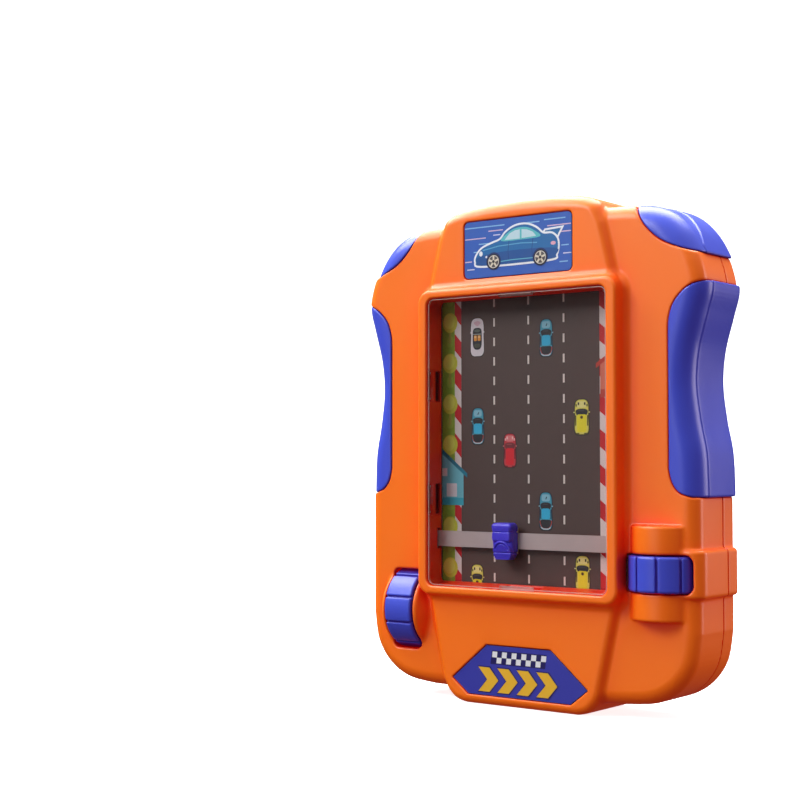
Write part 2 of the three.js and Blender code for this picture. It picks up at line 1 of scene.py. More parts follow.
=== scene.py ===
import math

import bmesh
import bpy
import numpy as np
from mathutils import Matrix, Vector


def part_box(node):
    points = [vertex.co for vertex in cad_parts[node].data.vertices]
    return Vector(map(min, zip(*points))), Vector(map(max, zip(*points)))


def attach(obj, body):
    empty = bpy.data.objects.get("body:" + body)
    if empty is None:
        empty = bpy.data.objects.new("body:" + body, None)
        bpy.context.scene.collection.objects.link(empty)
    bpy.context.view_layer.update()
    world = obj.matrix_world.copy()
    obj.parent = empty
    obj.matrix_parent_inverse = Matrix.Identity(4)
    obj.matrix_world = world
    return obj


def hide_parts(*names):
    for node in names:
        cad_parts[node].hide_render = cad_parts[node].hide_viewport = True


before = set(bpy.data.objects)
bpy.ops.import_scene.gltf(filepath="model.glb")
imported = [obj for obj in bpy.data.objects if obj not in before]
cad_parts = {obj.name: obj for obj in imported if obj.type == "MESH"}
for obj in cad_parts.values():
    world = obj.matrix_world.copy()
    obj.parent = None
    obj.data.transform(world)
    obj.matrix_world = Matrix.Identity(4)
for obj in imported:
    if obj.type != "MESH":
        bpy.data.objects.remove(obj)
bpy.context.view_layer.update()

# The looks of a hand-turned road racing toy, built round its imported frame.
#
# Shapes are drawn in millimetres in the toy's working frame: x across, y back from the bezel's
# front plane, z up from the middle of the window. Every mesh is written in metres in the row
# frame, where the toy stands on z = 0. Moulded shells are distance fields, meshed by surface
# nets; plates, film and prints are lofted or flat outlines.

# ---- driving dimensions, mm

GAP = 0.3
SEAM = 0.14              # joint line round the grips and caps
WALL = 1.8
BODY_FRONT = 6.0
BODY_BACK = 38.0
PARTING = 25.8           # depth of the plane where the two shells meet
PARTING_EDGE = 0.15
PANEL_FRONT = 3.4
FOOT_Z = -98.5
TOP_Z = 90.6
ORIGIN = np.array([0.0, (BODY_BACK - 1) / 2, FOOT_Z])      # row origin in the working frame

BODY_EDGE = 5.0          # rounding of the front face's edge
CREASE = 0.4             # how far the rounding stands out where the side face cuts it off
REAR_EDGE = 6.0
BAND_EDGE = 3.0
WINDOW = {"half_w": 39.7, "half_h": 55.0, "corner": 3.0}
BEZEL = {"half_w": 43.6, "half_h": 58.0, "corner": 5.0, "edge": 1.0, "draft": 0.22}
RECESS_BACK = 10.6
FILM_FRONT = 11.2
FILM_HALF_W = 40.0
ROLLER_Y = 15.0
ROLLER_Z = 64.9
SKIN = 2.2               # thickness of the grips and caps
SLAB_RISE = 0.4          # their side face stands this far over their front lobe
SIDE_BAND = {"z": -46.5, "half_h": 8.4, "proud": 1.9, "front": 5.1, "x": 64.0, "back": 34.0}
BOSS = {"x": 56.5, "y": 12.6, "r": 12.2, "z": -46.5, "half_h": 16.5}
STEER_SLOT = {"x": 57.25, "z": -46.65, "half_w": 13.05, "half_h": 6.65, "corner": 3.0}
SPEED_SLOT = {"x": -53.1, "z": -64.9, "half_w": 6.7, "half_h": 15.4, "corner": 2.5}
SLOT_DEPTH = 14.0
HUMP_R = 15.2
TREADS = 10
GROOVE = {"depth": 0.9, "width": 0.7}
SHELL_SCREWS = [(side * x, z) for x, z in ((52, 60), (53, -12), (36, -83)) for side in (1, -1)]
SCREW_SEAT = 33.4
SEAT_DEPTH = 1.4         # of the picture and badge plates
TAB_ROWS = ((15.6, 27.4), (-28.0, -16.2))
END_TAB_HALF_W = 7.8
NOTCH = ((1.6, 3.7, 1.5), (3.5, 7.4, 0.35), (7.3, 10.1, 1.5))     # y from, y to, depth
LEDGE = {"bottom": 1.5, "top": 1.0, "front": 4.2}
BELT = {"front": 8.6, "thick": 0.3, "z0": -40.3, "z1": -34.3}
LANE_W = 15.4

FINE = 0.5           # spacing of the shells' sample points
SKIN_STEP = 0.35
WHEEL_STEP = 0.26
CAR_STEP = 0.14
SCREW_STEP = 0.16


def node_box(name):
    """Low and high corner of a CAD node, in working millimetres."""
    low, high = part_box(name)
    return np.array(low) * 1000 + ORIGIN, np.array(high) * 1000 + ORIGIN


# ---- outlines

def spline_point(a, b, c, d, t):
    """A point of a uniform Catmull-Rom curve, t of the way from b to c."""
    v0, v1 = (c - a) / 2, (d - b) / 2
    return tuple((2 * b - 2 * c + v0 + v1) * t ** 3 + (3 * c - 3 * b - 2 * v0 - v1) * t * t + v0 * t + b)


def curve(points, steps):
    """An open smooth curve through the points."""
    p = np.array([points[0], *points, points[-1]], float)
    spans = len(points) - 1
    out = []
    for s in range(steps + 1):
        at = min(s * spans / steps, spans - 1e-9)
        i = int(at)
        out.append(spline_point(*p[i:i + 4], at - i))
    return out


def closed_curve(points, steps):
    """A closed smooth outline through the points."""
    p = np.array(points, float)
    out = []
    for i in range(len(p)):
        around = [p[(i + k) % len(p)] for k in (-1, 0, 1, 2)]
        out += [spline_point(*around, s / steps) for s in range(steps)]
    return out


def mirrored(right_half):
    """Right half, bottom to top, and its mirror image: one closed counter-clockwise outline."""
    return right_half + [(-x, z) for x, z in reversed(right_half) if x > 1e-6]


BODY_OUTLINE = mirrored([
    (0, -93.9),
    *curve([(42, -93.5), (54.6, -91.9), (63.8, -86.8), (69.8, -78.4), (71.9, -67)], 24),
    *curve([(71.9, -20), (71.3, -5), (69, 7), (67.5, 20), (68.6, 32), (71.9, 44), (74.2, 53), (72.9, 61),
            (70, 68), (66, 74.2), (60.2, 79.5), (53, 82.5), (44, 83.6)], 72),
    (0, 85.2),
])
BAND_OUTLINE = mirrored([
    (0, FOOT_Z),
    *curve([(24.5, FOOT_Z), (29, -97.3), (32.5, -94.2), (34.6, -90.4)], 14),
    (41.3, -60),
    (43, -50),
    (43, 50),
    (40.8, 61),
    (38.6, 70),
    *curve([(35.8, 80.5), (34.4, 84.8), (31, 87.4), (25, 89), (14, 90.2)], 18),
    (0, TOP_Z),
])
GRIP_ZONE = [
    *curve([(61.2, -10.5), (62.4, -15), (65, -18.3), (69.4, -20)], 14),
    (82, -20),
    (82, 55),
    *curve([(74, 54.9), (70.2, 53.6), (66.4, 51), (63.2, 47.2), (61.5, 42), (61.2, 37)], 20),
]
CAP_ZONE = [
    *curve([(46.8, 83.8), (49.4, 79.6), (53, 74.8), (58, 70.4), (64, 67.4), (70, 65.4), (80, 63.6)], 24),
    (80, 92),
    (46.4, 92),
]
BADGE_OUTLINE = [(14, -76.2), (-14, -76.2), (-29.4, -89.2), (-22.4, -94.7), (22.4, -94.7), (29.4, -89.2)]
PICTURE = {"half_w": 23.8, "z0": 61.7, "z1": 83.2, "corner": 2.0}

# proud: side face over the body. crease: depth of its front edge. slant: that depth's growth with height.
SIDE_COVERS = {
    "grip": {"zone": GRIP_ZONE, "x": (60, 77.5), "z": (-22, 57), "proud": 1.2, "rounding": 7.6,
             "crease": 13.2, "slant": 0.0},
    "corner_cap": {"zone": CAP_ZONE, "x": (45, 76), "z": (61, 87), "proud": 1.0, "rounding": 8.8,
                   "crease": 14.4, "slant": 0.62},
}


# ---- distance fields

def spaced(*runs):
    """Sample positions along one axis: runs of (from, to, step) that follow each other."""
    parts = [np.linspace(a, b, max(2, round((b - a) / step) + 1)) for a, b, step in runs]
    return np.unique(np.round(np.concatenate(parts), 5)).astype(np.float32)


class Grid:
    """Sample positions on three axes, ready for broadcasting."""

    def __init__(self, xs, ys, zs):
        self.axes = (xs, ys, zs)
        self.x = xs[:, None, None]
        self.y = ys[None, :, None]
        self.z = zs[None, None, :]


def grid_round(low, high, margin, step):
    """An even grid over a box and a margin round it."""
    return Grid(*(spaced((a - margin, b + margin, step)) for a, b in zip(low, high)))


def join(a, b, radius):
    """Union with a round fillet in the corner between the two."""
    fillet = np.hypot(np.maximum(radius - a, 0), np.maximum(radius - b, 0))
    return np.maximum(radius, np.minimum(a, b)) - fillet


def meet(a, b, radius):
    """Intersection with a rounded edge."""
    rounding = np.hypot(np.maximum(radius + a, 0), np.maximum(radius + b, 0))
    return np.minimum(-radius, np.maximum(a, b)) + rounding


def carve(a, b, radius):
    """The first shape without the second, with a rounded edge."""
    return meet(a, -b, radius)


def outline_distance(u, v, outline):
    """Signed distance to a closed outline at points (u, v); negative inside."""
    u, v = np.broadcast_arrays(u, v)
    best = np.full(u.shape, 1e9, np.float32)
    inside = np.zeros(u.shape, bool)
    for (x0, z0), (x1, z1) in zip(outline, outline[1:] + outline[:1]):
        dx, dz = x1 - x0, z1 - z0
        if dx * dx + dz * dz < 1e-12:
            continue
        along = np.clip(((u - x0) * dx + (v - z0) * dz) / (dx * dx + dz * dz), 0, 1)
        best = np.minimum(best, (u - x0 - along * dx) ** 2 + (v - z0 - along * dz) ** 2)
        if dz:
            crosses = ((v >= z0) != (v >= z1)) & (u < x0 + (v - z0) * dx / dz)
            inside ^= crosses
    return np.where(inside, -np.sqrt(best), np.sqrt(best)).astype(np.float32)


def rect_distance(u, v, half_w, half_h, corner=0.0):
    """Signed distance to a rounded rectangle centred on the origin."""
    a = np.abs(u) - (half_w - corner)
    b = np.abs(v) - (half_h - corner)
    return np.hypot(np.maximum(a, 0), np.maximum(b, 0)) + np.minimum(np.maximum(a, b), 0) - corner


def mirror_span(side, near, far):
    """Low and high end of a stretch on one side of the middle; side is 1 or -1."""
    return sorted((side * near, side * far))


def slice_distance(at, low, high):
    """Signed distance to the space between two parallel planes."""
    return np.abs(at - (low + high) / 2) - (high - low) / 2


def box_field(g, x0, x1, y0, y1, z0, z1):
    """A plain box."""
    return np.maximum(np.maximum(slice_distance(g.x, x0, x1), slice_distance(g.y, y0, y1)),
                      slice_distance(g.z, z0, z1))


def post_field(g, x, z, radius, y0, y1):
    """A round post along y."""
    return np.maximum(np.hypot(g.x - x, g.z - z) - radius, slice_distance(g.y, y0, y1))


# ---- meshing

CORNERS = [(i, j, k) for i in (0, 1) for j in (0, 1) for k in (0, 1)]


def surface_nets(field):
    """Vertices (as fractions of grid steps) and quads on the zero surface of a sampled field."""
    inside = field < 0
    size = np.array(field.shape) - 1
    count = np.zeros(size, np.uint8)
    for i, j, k in CORNERS:
        count += inside[i:i + size[0], j:j + size[1], k:k + size[2]]
    cells = np.argwhere((count > 0) & (count < 8))
    index = np.full(size, -1, np.int32)
    index[tuple(cells.T)] = np.arange(len(cells))
    values = {c: field[tuple((cells + c).T)] for c in CORNERS}
    total = np.zeros((len(cells), 3))
    hits = np.zeros(len(cells))
    for start in CORNERS:
        for axis in range(3):
            if start[axis]:
                continue
            end = tuple(1 if d == axis else start[d] for d in range(3))
            a, b = values[start], values[end]
            crossing = (a < 0) != (b < 0)
            point = np.tile(np.array(start, float), (crossing.sum(), 1))
            point[:, axis] += a[crossing] / (a[crossing] - b[crossing])
            total[crossing] += point
            hits[crossing] += 1
    vertices = cells + total / hits[:, None]
    quads = []
    for axis in range(3):
        u, v = (axis + 1) % 3, (axis + 2) % 3
        low = np.take(inside, range(size[axis]), axis)
        high = np.take(inside, range(1, size[axis] + 1), axis)
        edges = np.argwhere(low != high)
        for d in (u, v):
            edges = edges[(edges[:, d] > 0) & (edges[:, d] < size[d])]
        step_u, step_v = np.eye(3, dtype=int)[u], np.eye(3, dtype=int)[v]
        ring = [edges - step_u - step_v, edges - step_v, edges, edges - step_u]
        quad = np.stack([index[tuple(c.T)] for c in ring], 1)
        outward = low[tuple(edges.T)]
        quads.append(np.where(outward[:, None], quad, quad[:, ::-1]))
    return vertices, np.concatenate(quads)


def sample(field, at):
    """Trilinear value of the field at positions given in grid steps."""
    limit = np.array(field.shape) - 2
    base = np.clip(np.floor(at).astype(int), 0, limit)
    f = at - base
    out = np.zeros(len(at))
    for c in CORNERS:
        weight = np.prod([f[:, d] if c[d] else 1 - f[:, d] for d in range(3)], axis=0)
        out += weight * field[tuple((base + c).T)]
    return out


def to_steps(points, axes):
    return np.stack([np.interp(points[:, d], axes[d], np.arange(len(axes[d]))) for d in range(3)], 1)


def to_places(steps, axes):
    return np.stack([np.interp(steps[:, d], np.arange(len(axes[d])), axes[d]) for d in range(3)], 1)


def unit(vectors):
    """The rows scaled to length 1."""
    return vectors / np.maximum(np.linalg.norm(vectors, axis=1, keepdims=True), 1e-9)


def gradient(field, axes, points, reach):
    """Slope of the field at points in millimetres, by differences over twice the reach."""
    slopes = []
    for d in range(3):
        step = np.eye(3)[d] * reach
        ahead = sample(field, to_steps(points + step, axes))
        behind = sample(field, to_steps(points - step, axes))
        slopes.append((ahead - behind) / (2 * reach))
    return np.stack(slopes, 1)


def settle(field, axes, points, reach):
    """Points moved along the slope onto the zero surface, in two rounds."""
    for _ in range(2):
        value = sample(field, to_steps(points, axes))
        slope = gradient(field, axes, points, reach)
        length2 = np.maximum((slope ** 2).sum(1), 0.2)
        move = -(value / length2)[:, None] * slope
        points = points + np.clip(move, -reach, reach)
    return points


def to_row(points):
    """Working millimetres to row metres."""
    return (np.asarray(points, float) - ORIGIN) / 1000


def add_to_scene(thing):
    bpy.context.scene.collection.objects.link(thing)


def new_object(name, mesh, material, body="root", slot=None, replaces=()):
    """Links a mesh as a piece that rides on a body."""
    piece = bpy.data.objects.new(name, mesh)
    add_to_scene(piece)
    mesh.materials.append(material)
    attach(piece, body)
    if replaces:
        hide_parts(*replaces)
    return piece


def quad_mesh(name, points, quads):
    """A mesh from arrays, without a Python loop over its faces."""
    mesh = bpy.data.meshes.new(name)
    mesh.vertices.add(len(points))
    mesh.vertices.foreach_set("co", to_row(points).astype(np.float32).ravel())
    mesh.loops.add(quads.size)
    mesh.loops.foreach_set("vertex_index", quads.astype(np.int32).ravel())
    mesh.polygons.add(len(quads))
    mesh.polygons.foreach_set("loop_start", np.arange(0, quads.size, 4, dtype=np.int32))
    mesh.update(calc_edges=True)
    mesh.validate()
    return mesh


def thinned(mesh, keep):
    """The mesh with a share of its faces, by edge collapse."""
    holder = bpy.data.objects.new("thinning", mesh)
    add_to_scene(holder)
    modifier = holder.modifiers.new("collapse", "DECIMATE")
    modifier.ratio = keep
    result = bpy.data.meshes.new_from_object(holder.evaluated_get(bpy.context.evaluated_depsgraph_get()))
    bpy.data.objects.remove(holder)
    result.name = mesh.name
    return result


def moulded(name, field, grid, material, keep, **place):
    """A piece skinned over a distance field, with normals taken from the field's slope."""
    axes = grid.axes
    field = np.ascontiguousarray(np.broadcast_to(field, [len(a) for a in axes]), np.float32)
    steps, quads = surface_nets(field)
    reach = float(min(np.diff(a).min() for a in axes)) * 0.7
    points = settle(field, axes, to_places(steps, axes), reach)
    mesh = quad_mesh(name, points, quads)
    mesh = thinned(mesh, keep)
    co = np.zeros(len(mesh.vertices) * 3, np.float32)
    mesh.vertices.foreach_get("co", co)
    points = co.reshape(-1, 3).astype(float) * 1000 + ORIGIN
    points = settle(field, axes, points, reach)
    mesh.vertices.foreach_set("co", to_row(points).astype(np.float32).ravel())
    normals = unit(gradient(field, axes, points, reach))
    mesh.update()
    mesh.shade_smooth()
    mesh.normals_split_custom_set_from_vertices(normals.astype(np.float32))
    print("moulded", name, len(mesh.vertices), "vertices", len(mesh.polygons), "faces")
    return new_object(name, mesh, material, **place)


# ---- lofted pieces

def rounded_rect(x0, x1, z0, z1, corner, steps=8):
    """Counter-clockwise outline of a rectangle with round corners."""
    points = []
    for quarter, (cx, cz) in enumerate(((x1, z1), (x0, z1), (x0, z0), (x1, z0))):
        in_x = cx + (corner if cx == x0 else -corner)
        in_z = cz + (corner if cz == z0 else -corner)
        for i in range(steps + 1):
            angle = (quarter + i / steps) * math.pi / 2
            points.append((in_x + corner * math.cos(angle), in_z + corner * math.sin(angle)))
    return points


def inset(outline, distance):
    """The outline moved inwards (outwards when negative), with mitred corners."""
    p = np.array(outline, float)
    a = unit(p - np.roll(p, 1, 0))
    b = unit(np.roll(p, -1, 0) - p)
    inward = unit(np.stack([-a[:, 1] - b[:, 1], a[:, 0] + b[:, 0]], 1))
    stretch = np.maximum(0.5, (inward * np.stack([-a[:, 1], a[:, 0]], 1)).sum(1))
    return [tuple(q) for q in p + inward * (distance / stretch)[:, None]]


def loft(name, outline, profile, material, **place):
    """A closed plate skinned over copies of one outline; profile lists (inset, y) front to back."""
    rings = [[(x, y, z) for x, z in inset(outline, d)] for d, y in profile]
    count = len(outline)
    points = [p for ring in rings for p in ring]
    faces = [list(range(count)), [(len(rings) - 1) * count + i for i in reversed(range(count))]]
    for r in range(len(rings) - 1):
        for i in range(count):
            a = r * count + i
            b = r * count + (i + 1) % count
            faces.append([a, a + count, b + count, b])
    mesh = bpy.data.meshes.new(name)
    mesh.from_pydata(to_row(points).tolist(), [], faces)
    mesh.update()
    return new_object(name, mesh, material, **place)


# ---- materials

def srgb(red, green, blue):
    """A linear colour from 0-255 display values."""
    parts = [v / 255 for v in (red, green, blue)]
    return tuple(p / 12.92 if p <= 0.04045 else ((p + 0.055) / 1.055) ** 2.4 for p in parts) + (1.0,)


def add_node(tree, kind, inputs, **settings):
    """A shader node; each input takes a plain value or another node's output."""
    node = tree.nodes.new("ShaderNode" + kind)
    for key, value in settings.items():
        setattr(node, key, value)
    for key, value in inputs.items():
        if isinstance(value, bpy.types.NodeSocket):
            tree.links.new(value, node.inputs[key])
        else:
            node.inputs[key].default_value = value
    return node


def new_material(name):
    material = bpy.data.materials.new(name)
    material.use_nodes = True
    material.node_tree.nodes.clear()
    return material, material.node_tree


def with_surface(material, shader):
    """The material, finished with this shader node as its surface."""
    add_node(material.node_tree, "OutputMaterial", {"Surface": shader.outputs[0]})
    return material


def noise(tree, scale, detail=2.0):
    """Solid noise in object coordinates; scale is in repeats per metre."""
    where = add_node(tree, "TexCoord", {}).outputs["Object"]
    return add_node(tree, "TexNoise", {"Vector": where, "Scale": scale, "Detail": detail}).outputs["Fac"]


def map_range(tree, value, from_low, from_high, low=0.0, high=1.0):
    """low at or below from_low, high at or above from_high."""
    inputs = {"Value": value, "From Min": from_low, "From Max": from_high, "To Min": low, "To Max": high}
    return add_node(tree, "MapRange", inputs).outputs["Result"]


def span(tree, scale, detail, low, high):
    """Noise that runs from low to high."""
    return map_range(tree, noise(tree, scale, detail), 0.3, 0.7, low, high)


def mix_colours(tree, share, first, second, **settings):
    inputs = {"Factor": share, "A": first, "B": second}
    return add_node(tree, "Mix", inputs, data_type="RGBA", **settings).outputs["Result"]


def bump(tree, scale, detail, strength, distance):
    inputs = {"Strength": strength, "Distance": distance, "Height": noise(tree, scale, detail)}
    return add_node(tree, "Bump", inputs).outputs["Normal"]


def scaled(colour, factor):
    return tuple(min(1.0, c * factor) for c in colour[:3]) + (1.0,)


PAINTED_SHADE_REACH = 0.014     # metres over which a hollow's walls take on the painted shade colour


def moulded_plastic(name, colour, roughness=0.36, painted_hollow_shade=None, painted_glow=(0, 0, 0)):
    """Injection-moulded ABS: fine spark-eroded grain, slight flow marks and uneven gloss.

    The hollow colour is painted shade: a richer, darker colour mixed into the base where ambient occlusion
    finds hollows, in place of light that bounces between walls of one colour.
    The glow is a painted glow: emission on the open faces, in place of light that comes back out of the wall.
    """
    material, tree = new_material(name)
    base = mix_colours(tree, noise(tree, 16, 3), scaled(colour, 0.965), scaled(colour, 1.03))
    inputs = {
        "IOR": 1.5,
        "Subsurface Weight": 0.06,
        "Subsurface Radius": (0.003, 0.0012, 0.0006),
        "Subsurface Scale": 0.6,
        "Roughness": span(tree, 70, 3, roughness - 0.025, roughness + 0.03),
        "Normal": bump(tree, 2600, 2, 0.05, 0.00012),
    }
    if painted_hollow_shade:
        # painted shade in hollows and creases, found by ambient occlusion, and a painted glow (emission) on
        # open faces
        openness = add_node(tree, "AmbientOcclusion", {"Distance": PAINTED_SHADE_REACH}, samples=6).outputs["AO"]
        base = mix_colours(tree, map_range(tree, openness, 0.45, 0.92), painted_hollow_shade, base)
        inputs["Emission Color"] = (*painted_glow, 1)
        inputs["Emission Strength"] = map_range(tree, openness, 0.3, 0.7)
    inputs["Base Color"] = base
    return with_surface(material, add_node(tree, "BsdfPrincipled", inputs))


def brushed_steel(name):
    material, tree = new_material(name)
    tone = mix_colours(tree, noise(tree, 400, 3), srgb(168, 170, 174), srgb(206, 208, 210))
    inputs = {"Metallic": 1.0, "Base Color": tone, "Roughness": span(tree, 900, 3, 0.22, 0.38),
              "Normal": bump(tree, 4000, 2, 0.15, 0.00005)}
    return with_surface(material, add_node(tree, "BsdfPrincipled", inputs))


def clear_sheet(name):
    """Thin clear polystyrene: what is behind shows straight through, with a soft-edged gloss."""
    material, tree = new_material(name)
    glass = add_node(tree, "BsdfTransparent", {"Color": (0.985, 0.985, 0.985, 1)})
    gloss = add_node(tree, "BsdfGlossy", {"Roughness": span(tree, 60, 2, 0.04, 0.09)})
    facing = add_node(tree, "LayerWeight", {"Blend": 0.5}).outputs["Facing"]
    sheen = map_range(tree, facing, 0.25, 1.0, 0.015, 0.3)
    inputs = {0: sheen, 1: glass.outputs[0], 2: gloss.outputs[0]}
    return with_surface(material, add_node(tree, "MixShader", inputs))


def frosted_strip(name, share, tint):
    """Cloudy plastic; share of it hides what lies behind."""
    material, tree = new_material(name)
    through = add_node(tree, "BsdfTransparent", {})
    tone = mix_colours(tree, noise(tree, 120, 3), scaled(tint, 0.9), scaled(tint, 1.05))
    cloud = add_node(tree, "BsdfPrincipled", {"Base Color": tone, "Roughness": span(tree, 500, 2, 0.4, 0.5)})
    inputs = {0: share, 1: through.outputs[0], 2: cloud.outputs[0]}
    return with_surface(material, add_node(tree, "MixShader", inputs))


def printed_ink(name, roughness, grain):
    """Ink on film or card, coloured by the shapes it is printed with."""
    material, tree = new_material(name)
    ink = add_node(tree, "VertexColor", {}, layer_name="print_colour").outputs["Color"]
    mottle = mix_colours(tree, noise(tree, 1500, 3), (1 - grain,) * 3 + (1,), (1, 1, 1, 1))
    inputs = {"Base Color": mix_colours(tree, 1.0, ink, mottle, blend_type="MULTIPLY"),
              "Roughness": span(tree, 300, 2, roughness - 0.04, roughness + 0.04)}
    return with_surface(material, add_node(tree, "BsdfPrincipled", inputs))


# orange and violet carry painted shade in their hollows and a painted glow on their open faces
ORANGE = moulded_plastic("orange_plastic", srgb(243, 124, 20), painted_hollow_shade=srgb(232, 36, 6), painted_glow=(0.18, 0, 0))
VIOLET = moulded_plastic("violet_plastic", srgb(62, 86, 212), 0.33, srgb(52, 40, 160), (0.012, 0, 0.04))
CAR_VIOLET = moulded_plastic("car_violet_plastic", srgb(80, 66, 228), 0.24)
INNER_WHITE = moulded_plastic("inner_plastic", srgb(222, 218, 210), 0.5)
CARD = moulded_plastic("card", srgb(70, 92, 178), 0.4)
FILM_BASE = moulded_plastic("film_base", srgb(96, 82, 78), 0.45)
STEEL = brushed_steel("bright_steel")
CLEAR = clear_sheet("clear_window")
FROSTED = frosted_strip("frosted_belt", 0.8, srgb(204, 186, 186))
# pale cloudy finish for the lens's bevels and end tabs: a painted highlight
PAINTED_EDGE_HIGHLIGHT = frosted_strip("painted_edge_highlight", 0.5, srgb(255, 236, 230))
INK = printed_ink("printed_film", 0.5, 0.1)
GLOSSY_INK = printed_ink("printed_card", 0.32, 0.06)


# ---- shells

def body_field(g, outline, proud=0.0, front=BODY_FRONT):
    """The body's rounded block, whose front rounding ends in a crease on the side face.

    outline is its front-view distance.
    """
    side = outline - proud
    nose = meet(side - CREASE, front - g.y, BODY_EDGE + 0.8)
    shape = meet(nose, side, 0.25)
    return meet(shape, g.y - BODY_BACK, REAR_EDGE)


def band_field(g):
    """The raised panel down the middle, which carries the window, picture and badge."""
    outline = outline_distance(g.x, g.z, BAND_OUTLINE)
    softer_top = 2.2 * np.clip((g.z - 78) / 8, 0, 1)
    shape = meet(outline, PANEL_FRONT - g.y, BAND_EDGE + softer_top)
    return meet(shape, g.y - BODY_BACK, 3.2)


def bezel_field(g):
    """The frame round the window; its sides lean outwards with depth."""
    side = rect_distance(g.x, g.z, BEZEL["half_w"], BEZEL["half_h"], BEZEL["corner"])
    side = side - BEZEL["draft"] * np.clip(g.y, 0, 8)
    return np.maximum(meet(side, -g.y, BEZEL["edge"]), g.y - 20)


def hump_field(g):
    """Two cheeks that guard the sides of the left thumbwheel, as one lathe shape about x."""
    radius = np.hypot(g.y - ROLLER_Y, g.z - SPEED_SLOT["z"])
    across = np.abs(g.x - SPEED_SLOT["x"])
    flank_r, flank_x, slope = 14.6, 8.3, 1.8
    flank = ((radius - flank_r) + (across - flank_x) * slope) / math.hypot(1, slope)
    return meet(radius - HUMP_R, flank, 1.0)


def boss_field(g):
    """The upright half-round housing of the right thumbwheel."""
    radius = np.hypot(g.x - BOSS["x"], g.y - BOSS["y"]) - BOSS["r"]
    return meet(radius, np.abs(g.z - BOSS["z"]) - BOSS["half_h"], 0.9)


def side_band_field(g, outline):
    """Raised strip that wraps round the side behind the right thumbwheel."""
    b = SIDE_BAND
    strip = body_field(g, outline, b["proud"], b["front"])
    for limit in (np.abs(g.z - b["z"]) - b["half_h"], b["x"] - g.x, g.y - b["back"]):
        strip = meet(strip, limit, 1.3)
    return strip


def slot_field(g, slot):
    """The opening for a thumbwheel."""
    outline = rect_distance(g.x - slot["x"], g.z - slot["z"], slot["half_w"], slot["half_h"], slot["corner"])
    return np.maximum(outline, g.y - SLOT_DEPTH)


def window_field(g, grow=0.0, front=-5.0, back=20.0):
    w = WINDOW
    outline = rect_distance(g.x, g.z, w["half_w"] + grow, w["half_h"] + grow, w["corner"] + grow)
    return np.maximum(outline, slice_distance(g.y, front, back))


def closed_shell(g):
    """Both shells as one hollow block, with seats under the grips and corner caps."""
    outline = outline_distance(g.x, g.z, BODY_OUTLINE)
    body = body_field(g, outline)
    fillet = 1.5 * np.clip((36 - g.y) / 4, 0.02, 1)      # fades out towards the back
    outer = join(body, band_field(g), fillet)
    outer = join(outer, bezel_field(g), 2.4)
    outer = join(outer, hump_field(g), 1.2)
    outer = join(outer, boss_field(g), 0.9)
    outer = join(outer, side_band_field(g, outline), 0.9)
    outer = np.maximum(outer, g.y - BODY_BACK)
    zones = np.minimum(outline_distance(np.abs(g.x), g.z, GRIP_ZONE),
                       outline_distance(np.abs(g.x), g.z, CAP_ZONE))
    outer = np.minimum(carve(outer, zones - SEAM, 0.55), body + SKIN + SEAM)
    panel_back = np.maximum(np.abs(g.x) - 45, g.y - PANEL_FRONT - 3)
    cavity = np.maximum(outer + WALL, -panel_back)
    return outer, cavity


def wheel_reliefs(g):
    """Room inside the shells for both thumbwheels."""
    room = 0.4
    low, high = node_box("speed_wheel")
    radius = np.hypot(g.y - ROLLER_Y, g.z - SPEED_SLOT["z"]) - (high[2] - low[2]) / 2 - room
    speed = np.maximum(radius, np.abs(g.x - SPEED_SLOT["x"]) - SPEED_SLOT["half_w"])
    low, high = node_box("steering_wheel")
    centre = (low + high) / 2
    radius = np.hypot(g.x - centre[0], g.y - centre[1]) - (high[0] - low[0]) / 2 - room
    steer = np.maximum(radius, np.abs(g.z - STEER_SLOT["z"]) - STEER_SLOT["half_h"])
    return speed, steer


def plate_seats(g):
    """Shallow seats for the picture and the badge."""
    middle = (PICTURE["z0"] + PICTURE["z1"]) / 2
    half_h = (PICTURE["z1"] - PICTURE["z0"]) / 2
    picture = rect_distance(g.x, g.z - middle, PICTURE["half_w"] + GAP, half_h + GAP, PICTURE["corner"])
    badge = outline_distance(g.x, g.z, BADGE_OUTLINE) - GAP
    return np.maximum(np.minimum(picture, badge), g.y - PANEL_FRONT - SEAT_DEPTH)


def window_walls(g):
    """The recess behind the window, with a sloped ledge at its top and its foot."""
    walls = np.maximum(window_field(g, WALL, PANEL_FRONT + 2, RECESS_BACK), -window_field(g))
    for z, rise in ((-WINDOW["half_h"], LEDGE["bottom"]), (WINDOW["half_h"], LEDGE["top"])):
        from_edge = np.abs(g.z - z)
        slope = (from_edge - rise + 0.25 * (RECESS_BACK - g.y)) / 1.03
        across = np.maximum(np.abs(g.x) - WINDOW["half_w"] - 1, from_edge - 3)
        depth = np.maximum(g.y - RECESS_BACK, LEDGE["front"] - g.y)
        walls = np.minimum(walls, np.maximum(np.maximum(slope, across), depth))
    return walls


